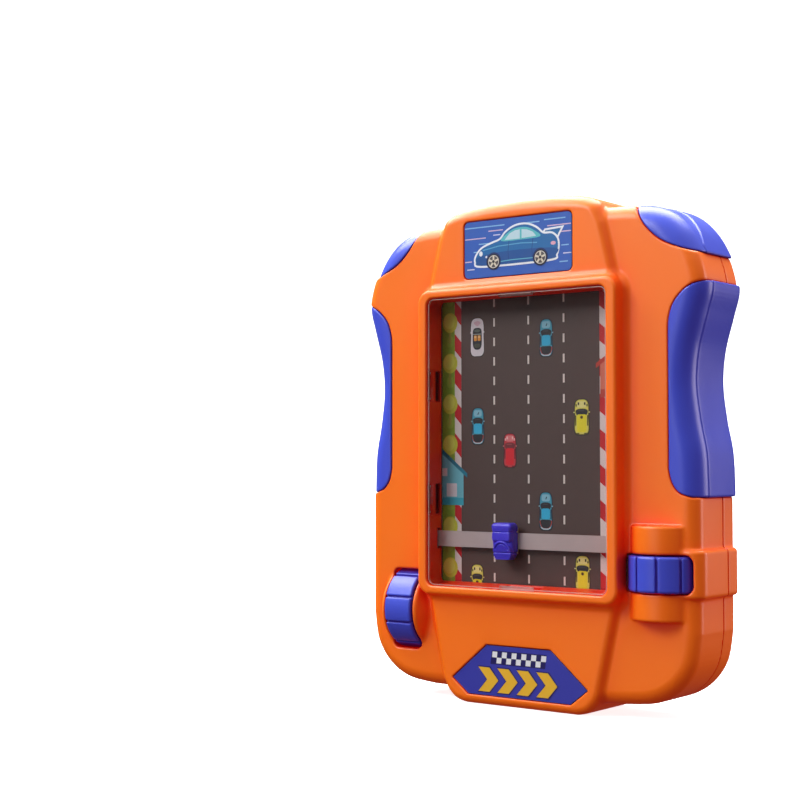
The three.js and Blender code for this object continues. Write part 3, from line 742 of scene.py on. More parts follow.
def carve_notches(shell, g):
    """Openings in the window's walls for the strip and for the lens's tabs."""
    half_w, half_h = WINDOW["half_w"], WINDOW["half_h"]
    inside = 0.2             # each opening starts this far inside the wall's face
    for side in (-1, 1):
        ends = mirror_span(side, half_w - inside, half_w + WALL + 0.6)
        belt_slot = box_field(g, *ends, BELT["front"] - 0.7, BELT["front"] + BELT["thick"] + 1,
                              BELT["z0"] - 0.8, BELT["z1"] + 0.8)
        shell = carve(shell, belt_slot, 0.2)
        for y0, y1, depth in NOTCH:
            ends = mirror_span(side, half_w - inside, half_w + depth)
            for z0, z1 in TAB_ROWS:
                shell = carve(shell, box_field(g, *ends, y0, y1, z0, z1), 0.15)
        ends = mirror_span(side, half_h - 3, half_h + 1.2)
        end_notch = box_field(g, -END_TAB_HALF_W, END_TAB_HALF_W, 2.0, RECESS_BACK - 1, *ends)
        shell = carve(shell, end_notch, 0.2)
    return shell


def shell_grid(*depths):
    return Grid(spaced((-76, 76, FINE)), spaced(*depths), spaced((-101, 93, FINE)))


def make_front_shell():
    g = shell_grid((-1.5, 12, FINE), (12, 24, 1.5), (24, 26.5, FINE))
    outer, cavity = closed_shell(g)
    outer = meet(outer, g.y - PARTING + GAP / 2, PARTING_EDGE)
    outer = carve(outer, window_field(g), 0.6)
    outer = carve(outer, plate_seats(g), 0.3)
    outer = carve(outer, slot_field(g, SPEED_SLOT), 0.8)
    outer = carve(outer, slot_field(g, STEER_SLOT), 0.9)
    shell = np.minimum(np.maximum(outer, -cavity), window_walls(g))
    for x, z in SHELL_SCREWS:
        post = post_field(g, x, z, 3.2, BODY_FRONT + 0.6, PARTING - GAP / 2)
        shell = np.minimum(shell, np.maximum(post, -post_field(g, x, z, 1.3, 18, 30)))
    for relief in wheel_reliefs(g):
        shell = np.maximum(shell, -relief)
    shell = carve_notches(shell, g)
    moulded("front_shell_skin", shell, g, ORANGE, 0.3, slot="shell_orange", replaces=["front_shell"])


def make_rear_shell():
    g = shell_grid((25, 27, FINE), (27, 31, 1), (31, 39.5, FINE))
    outer, cavity = closed_shell(g)
    outer = meet(outer, PARTING + GAP / 2 - g.y, PARTING_EDGE)
    shell = np.maximum(outer, -cavity)
    for x, z in SHELL_SCREWS:
        shell = np.minimum(shell, post_field(g, x, z, 4.6, PARTING + GAP / 2, BODY_BACK - 1))
        shell = np.maximum(shell, -post_field(g, x, z, 1.5, 20, 45))
        shell = carve(shell, post_field(g, x, z, 3.3, SCREW_SEAT, 45), 0.4)
    shell = np.maximum(shell, -wheel_reliefs(g)[1])
    moulded("rear_shell_skin", shell, g, ORANGE, 0.3, slot="shell_orange", replaces=["rear_shell"])


def make_side_cover(node, form, side):
    """A grip or corner cap: a low lobe on the front and a raised slab on the side."""
    depths = spaced((4.5, 26, SKIN_STEP), (26, 32, 1.2), (32, 39.5, SKIN_STEP))
    g = Grid(spaced((*form["x"], SKIN_STEP)), depths, spaced((*form["z"], SKIN_STEP)))
    outline = outline_distance(g.x, g.z, BODY_OUTLINE)
    edge = outline_distance(g.x, g.z, form["zone"])
    face = outline - form["proud"]
    nose = meet(face + SLAB_RISE, BODY_FRONT - 0.25 - g.y, form["rounding"])
    crease = form["crease"] + form["slant"] * np.clip(g.z - 68, 0, 20) - g.y
    slab = meet(face, crease, 0.4)
    lobe, slab = [meet(meet(part, g.y - BODY_BACK, REAR_EDGE), edge, 0.6) for part in (nose, slab)]
    shape = carve(join(lobe, slab, 0.5), body_field(g, outline) + SKIN, 0.1)
    if side < 0:
        g = Grid(-g.axes[0][::-1], g.axes[1], g.axes[2])
        shape = shape[::-1]
    moulded(f"{node}_skin", shape, g, VIOLET, 0.5, slot="trim_violet", replaces=[node])


make_front_shell()
make_rear_shell()
for side, word in ((1, "right"), (-1, "left")):
    for kind, form in SIDE_COVERS.items():
        make_side_cover(f"{kind}_{word}", form, side)


# ---- thumbwheels

def tread_field(radius, angle, across, wheel_r, half_w, phase):
    """A wheel with rounded finger pads, a dished side face and a bore."""
    pitch = 2 * math.pi / TREADS
    from_groove = np.abs((angle - phase + pitch / 2) % pitch - pitch / 2) * radius
    pads = meet(radius - wheel_r, GROOVE["width"] / 2 - from_groove, 0.55)
    tread = join(pads, radius - (wheel_r - GROOVE["depth"]), 0.1)
    wheel = meet(tread, across - half_w, 1.0)
    dish = meet(np.abs(radius - 0.53 * wheel_r) - 0.22 * wheel_r, half_w - 1.2 - across, 0.4)
    wheel = carve(wheel, dish, 0.4)
    return np.maximum(wheel, 1.5 - radius)


def make_wheel(node, body, axis, first_groove):
    """A thumbwheel that turns about x (axis 0) or z (axis 2)."""
    low, high = node_box(node)
    centre, half = (low + high) / 2, (high - low) / 2
    g = grid_round(low, high, 1, WHEEL_STEP)
    offsets = [g.x - centre[0], g.y - centre[1], g.z - centre[2]]
    across = np.abs(offsets.pop(axis))
    u, v = offsets
    wheel_r = np.delete(half, axis)[1]
    shape = tread_field(np.hypot(u, v), np.arctan2(v, u), across, wheel_r, half[axis], first_groove)
    moulded(f"{node}_tread", shape, g, VIOLET, 0.5, body=body, slot="trim_violet", replaces=[node])


# ---- game car

def make_game_car():
    """A chunky toy car: straight-sided body, rounded tail, cabin roof, domed cowl and bumper."""
    low, high = node_box("game_car")
    g = grid_round(low, high, 0.6, CAR_STEP)
    across = g.x - (low[0] + high[0]) / 2
    along = g.z - (low[2] + high[2]) / 2
    half_len = (high[2] - low[2]) / 2
    top, floor = low[1], high[1]

    def block(half_w, z0, z1, face, corner, edge):
        plan = rect_distance(across, along - (z0 + z1) / 2, half_w, (z1 - z0) / 2, corner)
        return np.maximum(meet(plan, face - g.y, edge), g.y - floor)

    bonnet_face = top + 0.9 + 0.16 * np.clip(-along, 0, 7)
    roof_face = top + 0.15 + 0.03 * (along - 1) ** 2
    cowl_face = top + 0.05 - 0.22 * (along + 0.4)
    cowl_w, cowl_len = 4.1, 4.3
    dome = np.hypot(across / cowl_w, (along + 4.4) / cowl_len)
    cowl = np.maximum(meet((dome - 1) * cowl_len, cowl_face - g.y, 0.5), g.y - floor)
    shape = block(4.7, -half_len, half_len, bonnet_face, 2.2, 1.5)
    shape = join(shape, block(4.6, half_len - 3.2, half_len, top + 0.25, 1.5, 1.3), 0.3)
    shape = join(shape, block(4.2, -0.6, half_len - 1.5, roof_face, 1.2, 0.9), 0.3)
    shape = join(shape, cowl, 0.2)
    skin = -(shape + 0.4)
    rim = np.maximum(np.abs(dome - 0.74) * cowl_len - 0.28, -along - 3.4)
    shape = carve(shape, np.maximum(rim, skin), 0.12)
    for z in (half_len - 3.3, -half_len + 2.0):
        crease = np.abs(along - z) - 0.2
        shape = carve(shape, np.maximum(crease, skin + 0.1), 0.12)
    moulded("game_car_shell", shape, g, CAR_VIOLET, 0.6, body="car", slot="car_violet", replaces=["game_car"])


# ---- lens

def lens_tabs(half_w, half_h):
    """Front-view corners (x0, x1, z0, z1) of the tabs on the lens's four sides."""
    tabs = []
    for side in (-1, 1):
        ends = mirror_span(side, half_w - 0.6, half_w + 0.9)
        for z0, z1 in TAB_ROWS:
            tabs.append((*ends, z0 + 0.6, z1 - 0.6))
        ends = mirror_span(side, half_h - 1.0, half_h + 0.9)
        tabs.append((-END_TAB_HALF_W + 0.6, END_TAB_HALF_W - 0.6, *ends))
    return tabs


def make_lens():
    """A clear pane with small tabs that snap into the window's walls."""
    front = node_box("window_lens")[0][1]
    half_w, half_h = WINDOW["half_w"] - GAP, WINDOW["half_h"] - GAP
    back, tab_back = front + 1.2, front + 2.6
    outline = rounded_rect(-half_w, half_w, -half_h, half_h, WINDOW["corner"] - GAP)
    profile = [(0.42, front), (0.12, front + 0.12), (0, front + 0.42), (0, back - 0.1), (0.1, back)]
    lens = loft("window_lens_pane", outline, profile, CLEAR, slot="clear_window", replaces=["window_lens"])
    mesh = bmesh.new()
    mesh.from_mesh(lens.data)
    for x0, x1, z0, z1 in lens_tabs(half_w, half_h):
        corners = [(x, y, z) for x in (x0, x1) for y in (back - 0.3, tab_back) for z in (z0, z1)]
        verts = [mesh.verts.new(p) for p in to_row(corners)]
        tab = bmesh.ops.convex_hull(mesh, input=verts)
        edges = [e for e in tab["geom"] if isinstance(e, bmesh.types.BMEdge)]
        bmesh.ops.bevel(mesh, geom=edges, offset=0.00012, segments=2, affect="EDGES")
    mesh.to_mesh(lens.data)
    mesh.free()
    # the bevels and the end tabs take the pale cloudy finish: a painted highlight along the lens's edges and
    # a painted reflection on the end tabs
    lens.data.materials.append(PAINTED_EDGE_HIGHLIGHT)
    for face in lens.data.polygons:
        x, y, z = np.array(face.center) * 1000 + ORIGIN
        end_tab = abs(abs(z) - half_h) < 1.4 and abs(x) < END_TAB_HALF_W - 0.3 and y > back
        bevel = 0.15 < abs(face.normal.y) < 0.95
        face.material_index = int(bevel or end_tab)


# ---- printed art

class Print:
    """Flat coloured shapes on a printed face; later shapes lie on top of earlier ones."""

    LIFT = 0.015     # rise of one layer over the next, so that no two share a plane

    def __init__(self, face_y, origin=(0.0, 0.0), bounds=None):
        self.face_y = face_y
        self.origin = origin
        self.bounds = bounds
        self.shapes = []

    def add(self, points, colour):
        points = [(x + self.origin[0], z + self.origin[1]) for x, z in points]
        if self.bounds:
            points = clipped(points, *self.bounds)
        if len(points) >= 3:
            self.shapes.append((points, colour))

    def ellipse(self, x, z, rx, rz, colour, steps=24):
        turn = 2 * math.pi / steps
        self.add([(x + rx * math.cos(i * turn), z + rz * math.sin(i * turn)) for i in range(steps)], colour)

    def rect(self, x0, x1, z0, z1, colour, corner=0.0):
        if corner:
            self.add(rounded_rect(x0, x1, z0, z1, corner, 4), colour)
        else:
            self.add([(x0, z0), (x1, z0), (x1, z1), (x0, z1)], colour)

    def line(self, points, width, colour):
        """A stroke with square ends along a polyline."""
        p = np.array(points, float)
        step = np.gradient(p, axis=0)
        side = unit(np.stack([-step[:, 1], step[:, 0]], 1)) * width / 2
        self.add([tuple(q) for q in np.concatenate([p - side, (p + side)[::-1]])], colour)

    def layers(self):
        """One layer number for each shape: one more than the highest shape that it lies over."""
        low = np.array([np.min(points, axis=0) for points, _ in self.shapes])
        high = np.array([np.max(points, axis=0) for points, _ in self.shapes])
        layer = np.ones(len(self.shapes), int)
        for i in range(1, len(layer)):
            under = ((low[:i] < high[i]) & (high[:i] > low[i])).all(1)
            if under.any():
                layer[i] = layer[:i][under].max() + 1
        return layer

    def build(self, name, material, **place):
        mesh = bmesh.new()
        inks = mesh.loops.layers.float_color.new("print_colour")
        for layer, (points, colour) in zip(self.layers(), self.shapes):
            y = self.face_y - self.LIFT * (layer + 1)
            face = mesh.faces.new([mesh.verts.new(p) for p in to_row([(x, y, z) for x, z in points])])
            face.normal_update()
            if face.normal.y > 0:
                face.normal_flip()
            for loop in face.loops:
                loop[inks] = colour
        bmesh.ops.triangulate(mesh, faces=[f for f in mesh.faces if len(f.verts) > 4])
        data = bpy.data.meshes.new(name)
        mesh.to_mesh(data)
        mesh.free()
        return new_object(name, data, material, **place)


def clipped(points, x0, x1, z0, z1):
    """The part of an outline inside a rectangle (Sutherland-Hodgman)."""
    for axis, limit, keep_above in ((0, x0, True), (0, x1, False), (1, z0, True), (1, z1, False)):
        kept = []
        for a, b in zip(points, points[1:] + points[:1]):
            a_in = (a[axis] >= limit) == keep_above
            b_in = (b[axis] >= limit) == keep_above
            if a_in:
                kept.append(a)
            if a_in != b_in:
                t = (limit - a[axis]) / (b[axis] - a[axis])
                kept.append((a[0] + t * (b[0] - a[0]), a[1] + t * (b[1] - a[1])))
        points = kept
        if not points:
            break
    return points


ROAD = srgb(84, 64, 61)
LANE_PAINT = srgb(225, 212, 205)
KERB_RED = srgb(200, 20, 34)
KERB_WHITE = srgb(226, 214, 212)
GRASS = srgb(138, 172, 50)
GRASS_LIGHT = srgb(154, 184, 64)
TREE = srgb(202, 204, 68)
TREE_LIGHT = srgb(216, 218, 92)
TRUNK = srgb(164, 170, 66)
DARK_GLASS = srgb(44, 44, 50)

# Right halves of car shapes seen from above, as shares of the half width and half length.
CAR_BODY = [(0, 1), (0.5, 0.97), (0.82, 0.82), (0.93, 0.5), (0.9, 0.05), (0.95, -0.45), (0.92, -0.8),
            (0.6, -0.98), (0, -1)]
OPEN_WELL = [(0, 0.5), (0.52, 0.44), (0.66, 0.2), (0.64, -0.4), (0.4, -0.62), (0, -0.66)]
WINDSCREEN = [(0, 0.46), (0.45, 0.44), (0.78, 0.34), (0.6, 0.1), (0, 0.06)]
REAR_SCREEN = [(0, -0.46), (0.6, -0.46), (0.78, -0.56), (0.55, -0.84), (0, -0.9)]


class CarArt:
    """A small car seen from above, nose up; places are shares of its half width and half length."""

    def __init__(self, art, x, z, size):
        self.art = art
        self.x, self.z = x, z
        self.w, self.h = size[1] * 0.46, size[0] / 2     # the size's width takes in the mirrors

    def place(self, points, rise=0.0):
        return [(self.x + self.w * a, self.z + self.h * (b + rise)) for a, b in points]

    def blob(self, right_half, colour, rise=0.0, wide=1.0, long=1.0):
        """A smooth shape, mirrored about the car's middle."""
        right = [(a * wide, b * long) for a, b in right_half]
        left = [(-a, b) for a, b in reversed(right) if a > 0]
        self.art.add(closed_curve(self.place(right + left, rise), 4), colour)

    def bar(self, x0, x1, z0, z1, colour, corner=0.0):
        (left, low), (right, high) = self.place([(x0, z0), (x1, z1)])
        self.art.rect(left, right, low, high, colour, corner)

    def pair(self, x0, x1, z0, z1, colour, corner=0.0):
        """A bar on either side of the middle."""
        self.bar(-x1, -x0, z0, z1, colour, corner)
        self.bar(x0, x1, z0, z1, colour, corner)

    def line(self, points, width, colour):
        self.art.line(self.place(points), width, colour)


def paint_cockpit(car, roof, dark):
    """Two seats and a screen rail, and a mark on the bonnet."""
    car.blob(OPEN_WELL, DARK_GLASS)
    car.blob([(0, 0.1), (0.5, 0.03), (0, -0.06)], srgb(92, 100, 92), rise=0.32)
    car.line([(-0.6, 0.16), (0.6, 0.16)], 0.26, srgb(172, 178, 172))
    car.pair(0.2 / car.w, 1.55 / car.w, -0.2, 0.1, roof, 0.4)
    car.pair(0.45 / car.w, 1.3 / car.w, -0.04, 0.07, srgb(240, 196, 130), 0.2)
    car.bar(-0.46, 0.46, -0.56, -0.34, srgb(74, 76, 62), 0.7)
    car.blob([(0, 0.12), (0.5, 0.02), (0, -0.16)], dark, rise=0.74)


def paint_saloon_tail(car, dark):
    """Rear screen in a painted frame, and the boot's edge."""
    car.line([(0, 0.62), (0.45 / car.w, 0.76)], 0.4, dark)
    car.blob(REAR_SCREEN, srgb(178, 74, 66), wide=1.16, long=1.02)
    car.blob(REAR_SCREEN, DARK_GLASS)
    car.line([(-0.7, -0.86), (-0.35, -0.95), (0.35, -0.95), (0.7, -0.86)], 0.4, srgb(196, 214, 224))


def paint_car(art, x, z, size, colours, kind):
    car = CarArt(art, x, z, size)
    main, light, dark, roof = colours
    car.blob(CAR_BODY, srgb(52, 42, 44), rise=-0.1 / car.h, wide=1.06, long=1.03)
    car.blob(CAR_BODY, light if kind == "open" else dark)
    car.blob(CAR_BODY, main, wide=0.9, long=0.97)
    car.pair(0.86, 1.04, 0.23, 0.29, light)
    if kind == "open":
        paint_cockpit(car, roof, dark)
        return
    car.bar(-0.6, 0.6, 0.52, 0.88, light, 0.7)
    tint = srgb(122, 46, 52) if kind == "hatch" else DARK_GLASS
    car.blob(WINDSCREEN, tint)
    car.line([(-0.45, 0.36), (0.3, 0.36)], 0.3, scaled(tint, 2.2))
    roof_low = -0.42 if kind == "saloon" else -0.86
    car.bar(-0.6, 0.6, roof_low, 0.14, roof, 0.8)
    car.pair(0.68, 0.82, max(roof_low, -0.5), 0.1, dark, 0.2)
    if kind == "saloon":
        paint_saloon_tail(car, dark)
        return
    spots = srgb(66, 62, 40) if kind == "coupe" else srgb(240, 186, 182)
    car.pair(0.3, 0.5, 0.66, 0.82, spots, 0.15)
    car.pair(0.6, 0.76, 0.58, 0.72, spots, 0.15)
    if kind == "coupe":
        art.ellipse(x, z - car.h * 0.02, 0.62, 0.6, srgb(84, 72, 30), 12)
    car.pair(0.3, 0.74, -0.97, -0.9, dark, 0.15)


BLUE_CAR = (srgb(72, 158, 186), srgb(134, 190, 210), srgb(30, 62, 84), srgb(52, 182, 226))
YELLOW_CAR = (srgb(226, 216, 96), srgb(232, 224, 140), srgb(86, 82, 36), srgb(234, 222, 44))
RED_CAR = (srgb(204, 60, 70), srgb(222, 120, 124), srgb(112, 28, 38), srgb(226, 30, 46))
WHITE_CAR = (srgb(222, 212, 218), srgb(232, 226, 230), srgb(214, 176, 190), srgb(228, 150, 58))
TRAFFIC = [
    (-23.2, 40.0, (14.5, 6.9), WHITE_CAR, "open"), (8.0, 38.3, (13.9, 6.5), BLUE_CAR, "saloon"),
    (-23.0, 5.9, (13.9, 6.5), BLUE_CAR, "saloon"), (23.2, 8.6, (13.0, 7.3), YELLOW_CAR, "coupe"),
    (-8.3, -3.5, (12.8, 6.5), RED_CAR, "hatch"), (7.6, -26.0, (14.0, 6.5), BLUE_CAR, "saloon"),
    (23.3, -48.3, (12.9, 7.2), YELLOW_CAR, "coupe"), (-23.4, -53.4, (13.0, 6.7), YELLOW_CAR, "coupe"),
]


def paint_house(art, side, wall_x, eave_z, base_z, ridge, colours):
    """Half of a gabled house that stands beyond the kerb; side is -1 on the left."""
    wall, roof, foot, pane = colours
    far = side * 46
    ridge_x, ridge_z = ridge
    art.add([(wall_x, base_z), (wall_x, eave_z), (ridge_x, ridge_z), (far, ridge_z), (far, base_z)], wall)
    art.rect(*sorted((wall_x, far)), base_z, base_z + 2.9, foot)
    art.rect(*sorted((wall_x + side * 3.1, wall_x + side * 8.0)), base_z + 3.3, base_z + 8.4, pane, 0.2)
    art.rect(*sorted((wall_x + side * 7.7, far)), base_z + 11.2, base_z + 14.3, pane, 0.2)
    overhang = side * 1.8
    eave = eave_z - overhang * (ridge_z - eave_z) / (ridge_x - wall_x)
    art.add([(wall_x - overhang, eave - 0.5), (wall_x - overhang, eave + 1.2), (ridge_x, ridge_z + 1.9),
             (ridge_x, ridge_z)], roof)


def paint_roadside(art, side, stripe_z, lean):
    """Grass and a striped kerb on one side of the road."""
    kerb_edge = 2 * LANE_W + 3.1
    left, right = mirror_span(side, 2 * LANE_W, kerb_edge)
    art.rect(*mirror_span(side, kerb_edge, FILM_HALF_W), -ROLLER_Z, ROLLER_Z, GRASS)
    art.rect(left, right, -ROLLER_Z, ROLLER_Z, KERB_WHITE)
    stripe = 6.4
    for k in range(-7, 7):
        z = stripe_z + k * 2 * stripe
        art.add([(left, z), (left, z - stripe), (right, z - stripe - lean), (right, z - lean)], KERB_RED)


def paint_tree(art, x, z):
    art.rect(x - 1.5, x + 1.5, z - 9.5, z - 5.2, GRASS_LIGHT, 1.2)
    art.rect(x - 0.6, x + 0.6, z - 8.0, z, TRUNK)
    art.ellipse(x, z, 3.5, 3.9, TREE)
    art.ellipse(x - 0.5, z + 0.5, 2.6, 2.9, TREE_LIGHT)


def make_film_print():
    """A four-lane road between kerbs, with trees, two houses and traffic."""
    art = Print(FILM_FRONT, bounds=(-FILM_HALF_W + 0.1, FILM_HALF_W - 0.1, -ROLLER_Z, ROLLER_Z))
    art.rect(-2 * LANE_W, 2 * LANE_W, -ROLLER_Z, ROLLER_Z, ROAD)
    paint_roadside(art, -1, 41.8, 3.3)
    paint_roadside(art, 1, 42.5, 2.4)
    for k in range(-5, 5):
        for x in (-36.1, 38.4):
            paint_tree(art, x, 30.4 + k * 15.8)
    dash, pitch = 3.2, 7.44
    for x in (-LANE_W, 0.1, LANE_W + 0.2):
        for k in range(-16, 8):
            z = 43.7 + k * pitch
            art.rect(x - 0.38, x + 0.38, z, z + dash, LANE_PAINT)
    teal = (srgb(112, 190, 208), srgb(30, 118, 146), srgb(58, 172, 196), srgb(226, 220, 228))
    salmon = (srgb(216, 116, 92), srgb(196, 62, 48), srgb(188, 66, 54), srgb(236, 214, 206))
    paint_house(art, -1, -29.8, -12.1, -24.5, (-40.0, -4.6), teal)
    paint_house(art, 1, 31.1, 27.8, 15.5, (41.0, 34.0), salmon)
    for car in TRAFFIC:
        paint_car(art, *car)
    art.build("road_film_print", INK, slot="film_print")


def make_picture_print():
    """A generic coupe in side view, nose to the left, over speed lines."""
    low, high = node_box("picture_plate")
    half_w, half_h = (high[0] - low[0]) / 2 - 0.1, (high[2] - low[2]) / 2 - 0.1
    art = Print(low[1], origin=((low[0] + high[0]) / 2, (low[2] + high[2]) / 2))
    art.add(rounded_rect(-half_w, half_w, -half_h, half_h, PICTURE["corner"] - 0.4), srgb(56, 100, 194))
    paint_speed_lines(art, half_w - 0.1)
    paint_coupe_body(art)
    for x in (-10.4, 10.4):
        paint_spoked_wheel(art, x, -5.1)
    art.build("picture_print", GLOSSY_INK, slot="picture_print")


def paint_speed_lines(art, end):
    pale, cyan, rose = srgb(212, 218, 240), srgb(140, 196, 236), srgb(226, 196, 218)
    dashes = [(-end, -5.5, 8.4, cyan), (0.5, 10.0, 8.2, cyan), (12, 21.2, 8.6, cyan), (-end, -14, 4.2, rose),
              (-10.6, -7.4, 4.9, pale), (-19.6, -15.8, -0.9, cyan), (14, 16.8, 3.0, pale),
              (-12.8, -6.2, 6.6, rose), (13.4, end, 6.2, rose), (18.6, end, 3.6, rose),
              (19.4, 22.6, -1.4, cyan), (-end, -20.4, -4.4, rose), (-22.6, -19.2, -7.4, pale),
              (20.2, end, -4.4, pale), (18.6, 22.2, -7.4, cyan), (-17.2, -12.4, 2.0, cyan)]
    for x0, x1, z, colour in dashes:
        art.rect(x0, x1, z - 0.2, z + 0.2, colour)


def paint_coupe_body(art):
    white, blue = srgb(240, 244, 252), srgb(40, 112, 178)
    border = 0.75
    body = closed_curve([
        (-18.6, -4.6), (-18.2, -2.4), (-15.6, 0.2), (-11.0, 1.8), (-7.4, 2.9), (-4.6, 5.6), (-0.6, 7.4),
        (4.2, 7.6), (8.4, 6.0), (11.6, 3.6), (15.4, 3.2), (17.6, 1.2), (18.0, -1.8), (17.2, -4.6),
        (15.6, -6.0), (0, -6.4), (-16.6, -6.2)], 5)
    wing = [(17.0, 0.8), (18.2, 3.2), (19.4, 5.0), (12.6, 4.6), (11.0, 2.6)]
    lower = [(-18.2, -4.8), (-17.4, -2.9), (-8, -1.7), (6, -1.5), (17.6, -2.3), (17.0, -4.8), (15.4, -6.0),
             (0, -6.3), (-16.4, -6.1)]
    glass = [(-7.0, 2.4), (-4.2, 5.1), (-0.6, 6.6), (4.0, 6.7), (7.6, 5.2), (10.4, 2.7), (2, 2.2)]
    front_pane = [(-5.4, 2.6), (-3.2, 4.9), (-0.6, 5.9), (1.4, 6.0), (1.4, 2.6)]
    rear_pane = [(2.2, 2.7), (2.2, 6.0), (4.6, 5.7), (7.2, 4.6), (8.6, 3.0)]
    art.add(inset(wing, -border), white)
    art.add(wing, blue)
    art.add(inset(body[::-1], -border), white)
    art.add(body, blue)
    art.add(closed_curve(lower, 4), srgb(38, 88, 160))
    art.add(closed_curve(glass, 4), srgb(96, 196, 206))
    for pane in (front_pane, rear_pane):
        art.add(pane, srgb(200, 228, 240))
    art.line([(-15.4, -0.5), (-8, 0.6), (2, 0.9), (9, 0.5)], 0.34, srgb(96, 176, 216))
    art.line([(-9.5, -5.4), (-2, -5.0), (7.5, -5.0)], 0.3, srgb(104, 190, 214))
    for x in (-3.4, 7.2):
        art.line([(x, 2.2), (x - 0.5, -1.6), (x - 0.2, -4.8)], 0.2, srgb(28, 66, 128))
    art.ellipse(-16.2, -1.7, 0.8, 1.0, srgb(240, 244, 250), 12)
    art.ellipse(-13.7, -3.1, 0.45, 0.45, srgb(240, 244, 250), 10)
    art.ellipse(16.0, -0.3, 1.1, 0.7, srgb(232, 176, 196), 12)


def paint_spoked_wheel(art, x, z):
    art.ellipse(x, z + 0.2, 3.35, 3.35, srgb(30, 54, 110))
    for radius, colour in ((2.95, srgb(44, 42, 48)), (2.45, srgb(222, 218, 212)), (2.15, srgb(92, 86, 88))):
        art.ellipse(x, z, radius, radius, colour)
    for k in range(5):
        turn = math.radians(90 + 72 * k)
        art.line([(x, z), (x + 2.2 * math.cos(turn), z + 2.2 * math.sin(turn))], 0.75, srgb(224, 216, 198))
    art.ellipse(x, z, 0.6, 0.6, srgb(60, 56, 60), 12)


def make_badge_print():
    """A generic racing graphic: a chequered strip over four chevrons."""
    art = Print(node_box("badge_plate")[0][1])
    art.add(inset(BADGE_OUTLINE, 0.12), srgb(60, 62, 174))
    white, yellow, edge = srgb(244, 242, 246), srgb(246, 190, 52), srgb(34, 26, 96)
    cell, lean = 2.15, 0.25
    rows, columns = 2, 11
    left, right, top = -columns * cell / 2, columns * cell / 2, -78.3
    foot = top - rows * cell
    art.add([(left - 0.5, foot - 0.4), (right - 0.1, foot - 0.4), (right + 0.6, top + 0.4),
             (left + 0.2, top + 0.4)], edge)
    for row in range(rows):
        for column in range(row % 2, columns, 2):
            x0, z1 = left + column * cell + lean * (rows - row), top - row * cell
            x1, z0 = x0 + cell, z1 - cell
            art.add([(x0 - lean, z0), (x1 - lean, z0), (x1, z1), (x0, z1)], white)
    for k in range(4):
        x, z = -17.8 + k * 8.6, -88.9
        for grow, colour in ((0.4, edge), (0.0, yellow)):
            arm, tall, tip = 5.0 + grow, 4.5 + grow, 4.0
            art.add([(x - grow, z + tall), (x + arm, z + tall), (x + arm + tip, z), (x + arm, z - tall),
                     (x - grow, z - tall), (x + tip - grow, z)], colour)
    art.build("badge_print", GLOSSY_INK, slot="badge_print")


# ---- screws and inner pieces

def make_shell_screw(node, x, z, turn):
    """A pan-head screw with a cross recess, seen from behind."""
    low, high = node_box(node)
    reach = 3.2
    head_y = SCREW_SEAT + GAP
    g = Grid(spaced((x - reach, x + reach, SCREW_STEP)), spaced((low[1] - 0.5, high[1] + 0.6, SCREW_STEP)),
             spaced((z - reach, z + reach, SCREW_STEP)))
    radius = np.hypot(g.x - x, g.z - z)
    dome = np.sqrt(radius ** 2 + (g.y - head_y + 3.0) ** 2) - 4.7
    head = meet(meet(radius - 2.7, dome, 0.3), head_y - g.y, 0.1)
    u = (g.x - x) * math.cos(turn) + (g.z - z) * math.sin(turn)
    v = (g.z - z) * math.cos(turn) - (g.x - x) * math.sin(turn)
    taper = 0.3 * (head_y + 1.7 - g.y)
    cross = np.minimum(rect_distance(u, v, 1.5, 0.32), rect_distance(u, v, 0.32, 1.5)) + taper
    head = carve(head, np.maximum(cross, head_y + 0.5 - g.y), 0.08)
    thread = 0.12 * np.abs(((g.y * 1.1 + np.arctan2(g.z - z, g.x - x) / (2 * math.pi)) % 1) - 0.5)
    shank = np.maximum(radius - 1.1 + thread, np.maximum(g.y - head_y - 0.4, low[1] - g.y))
    moulded(f"{node}_head", np.minimum(head, shank), g, STEEL, 0.5, slot="steel", replaces=[node])


def dress_inner_pieces():
    """Materials for the CAD pieces that are shown as they are, by the slot each one arrived with."""
    finishes = {"inner_white": INNER_WHITE, "steel": STEEL, "belt_frosted": FROSTED, "film_print": FILM_BASE,
                "picture_print": CARD, "badge_print": CARD}
    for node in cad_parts.values():
        arrived = node.data.materials[0].name.split(".")[0]
        if arrived in finishes:
            node.data.materials.clear()
            node.data.materials.append(finishes[arrived])


make_wheel("speed_wheel", "drive_roller", 0, math.pi / TREADS)
make_wheel("steering_wheel", "steering", 2, -math.pi / 2 + math.pi / 15)
make_game_car()
make_lens()
make_film_print()
make_picture_print()
make_badge_print()
for index, (x, z) in enumerate(SHELL_SCREWS, 1):
    make_shell_screw(f"shell_screw_{index}", x, z, 0.35 * index)
dress_inner_pieces()


# ---- camera, light and floor

def make_camera():
    """A three-quarter view from the right, a little below the middle of the toy."""
    data = bpy.data.cameras.new("camera")
    data.sensor_width = 36
    data.lens = 69.07
    camera = bpy.data.objects.new("camera", data)
    add_to_scene(camera)
    camera.location = (0.3155, -0.4888, 0.0908)
    camera.rotation_mode = "QUATERNION"
    camera.rotation_quaternion = Vector((-0.6154, 0.7872, 0.0401)).to_track_quat("-Z", "Y")
    bpy.context.scene.camera = camera


def area_light(name, at, target, size, power, colour=(1, 1, 1)):
    data = bpy.data.lights.new(name, "AREA")
    data.shape = "RECTANGLE"
    data.size, data.size_y = size
    data.energy = power
    data.color = colour
    light = bpy.data.objects.new(name, data)
    light.location = at
    light.rotation_mode = "QUATERNION"
    light.rotation_quaternion = (Vector(target) - Vector(at)).to_track_quat("-Z", "Y")
    add_to_scene(light)


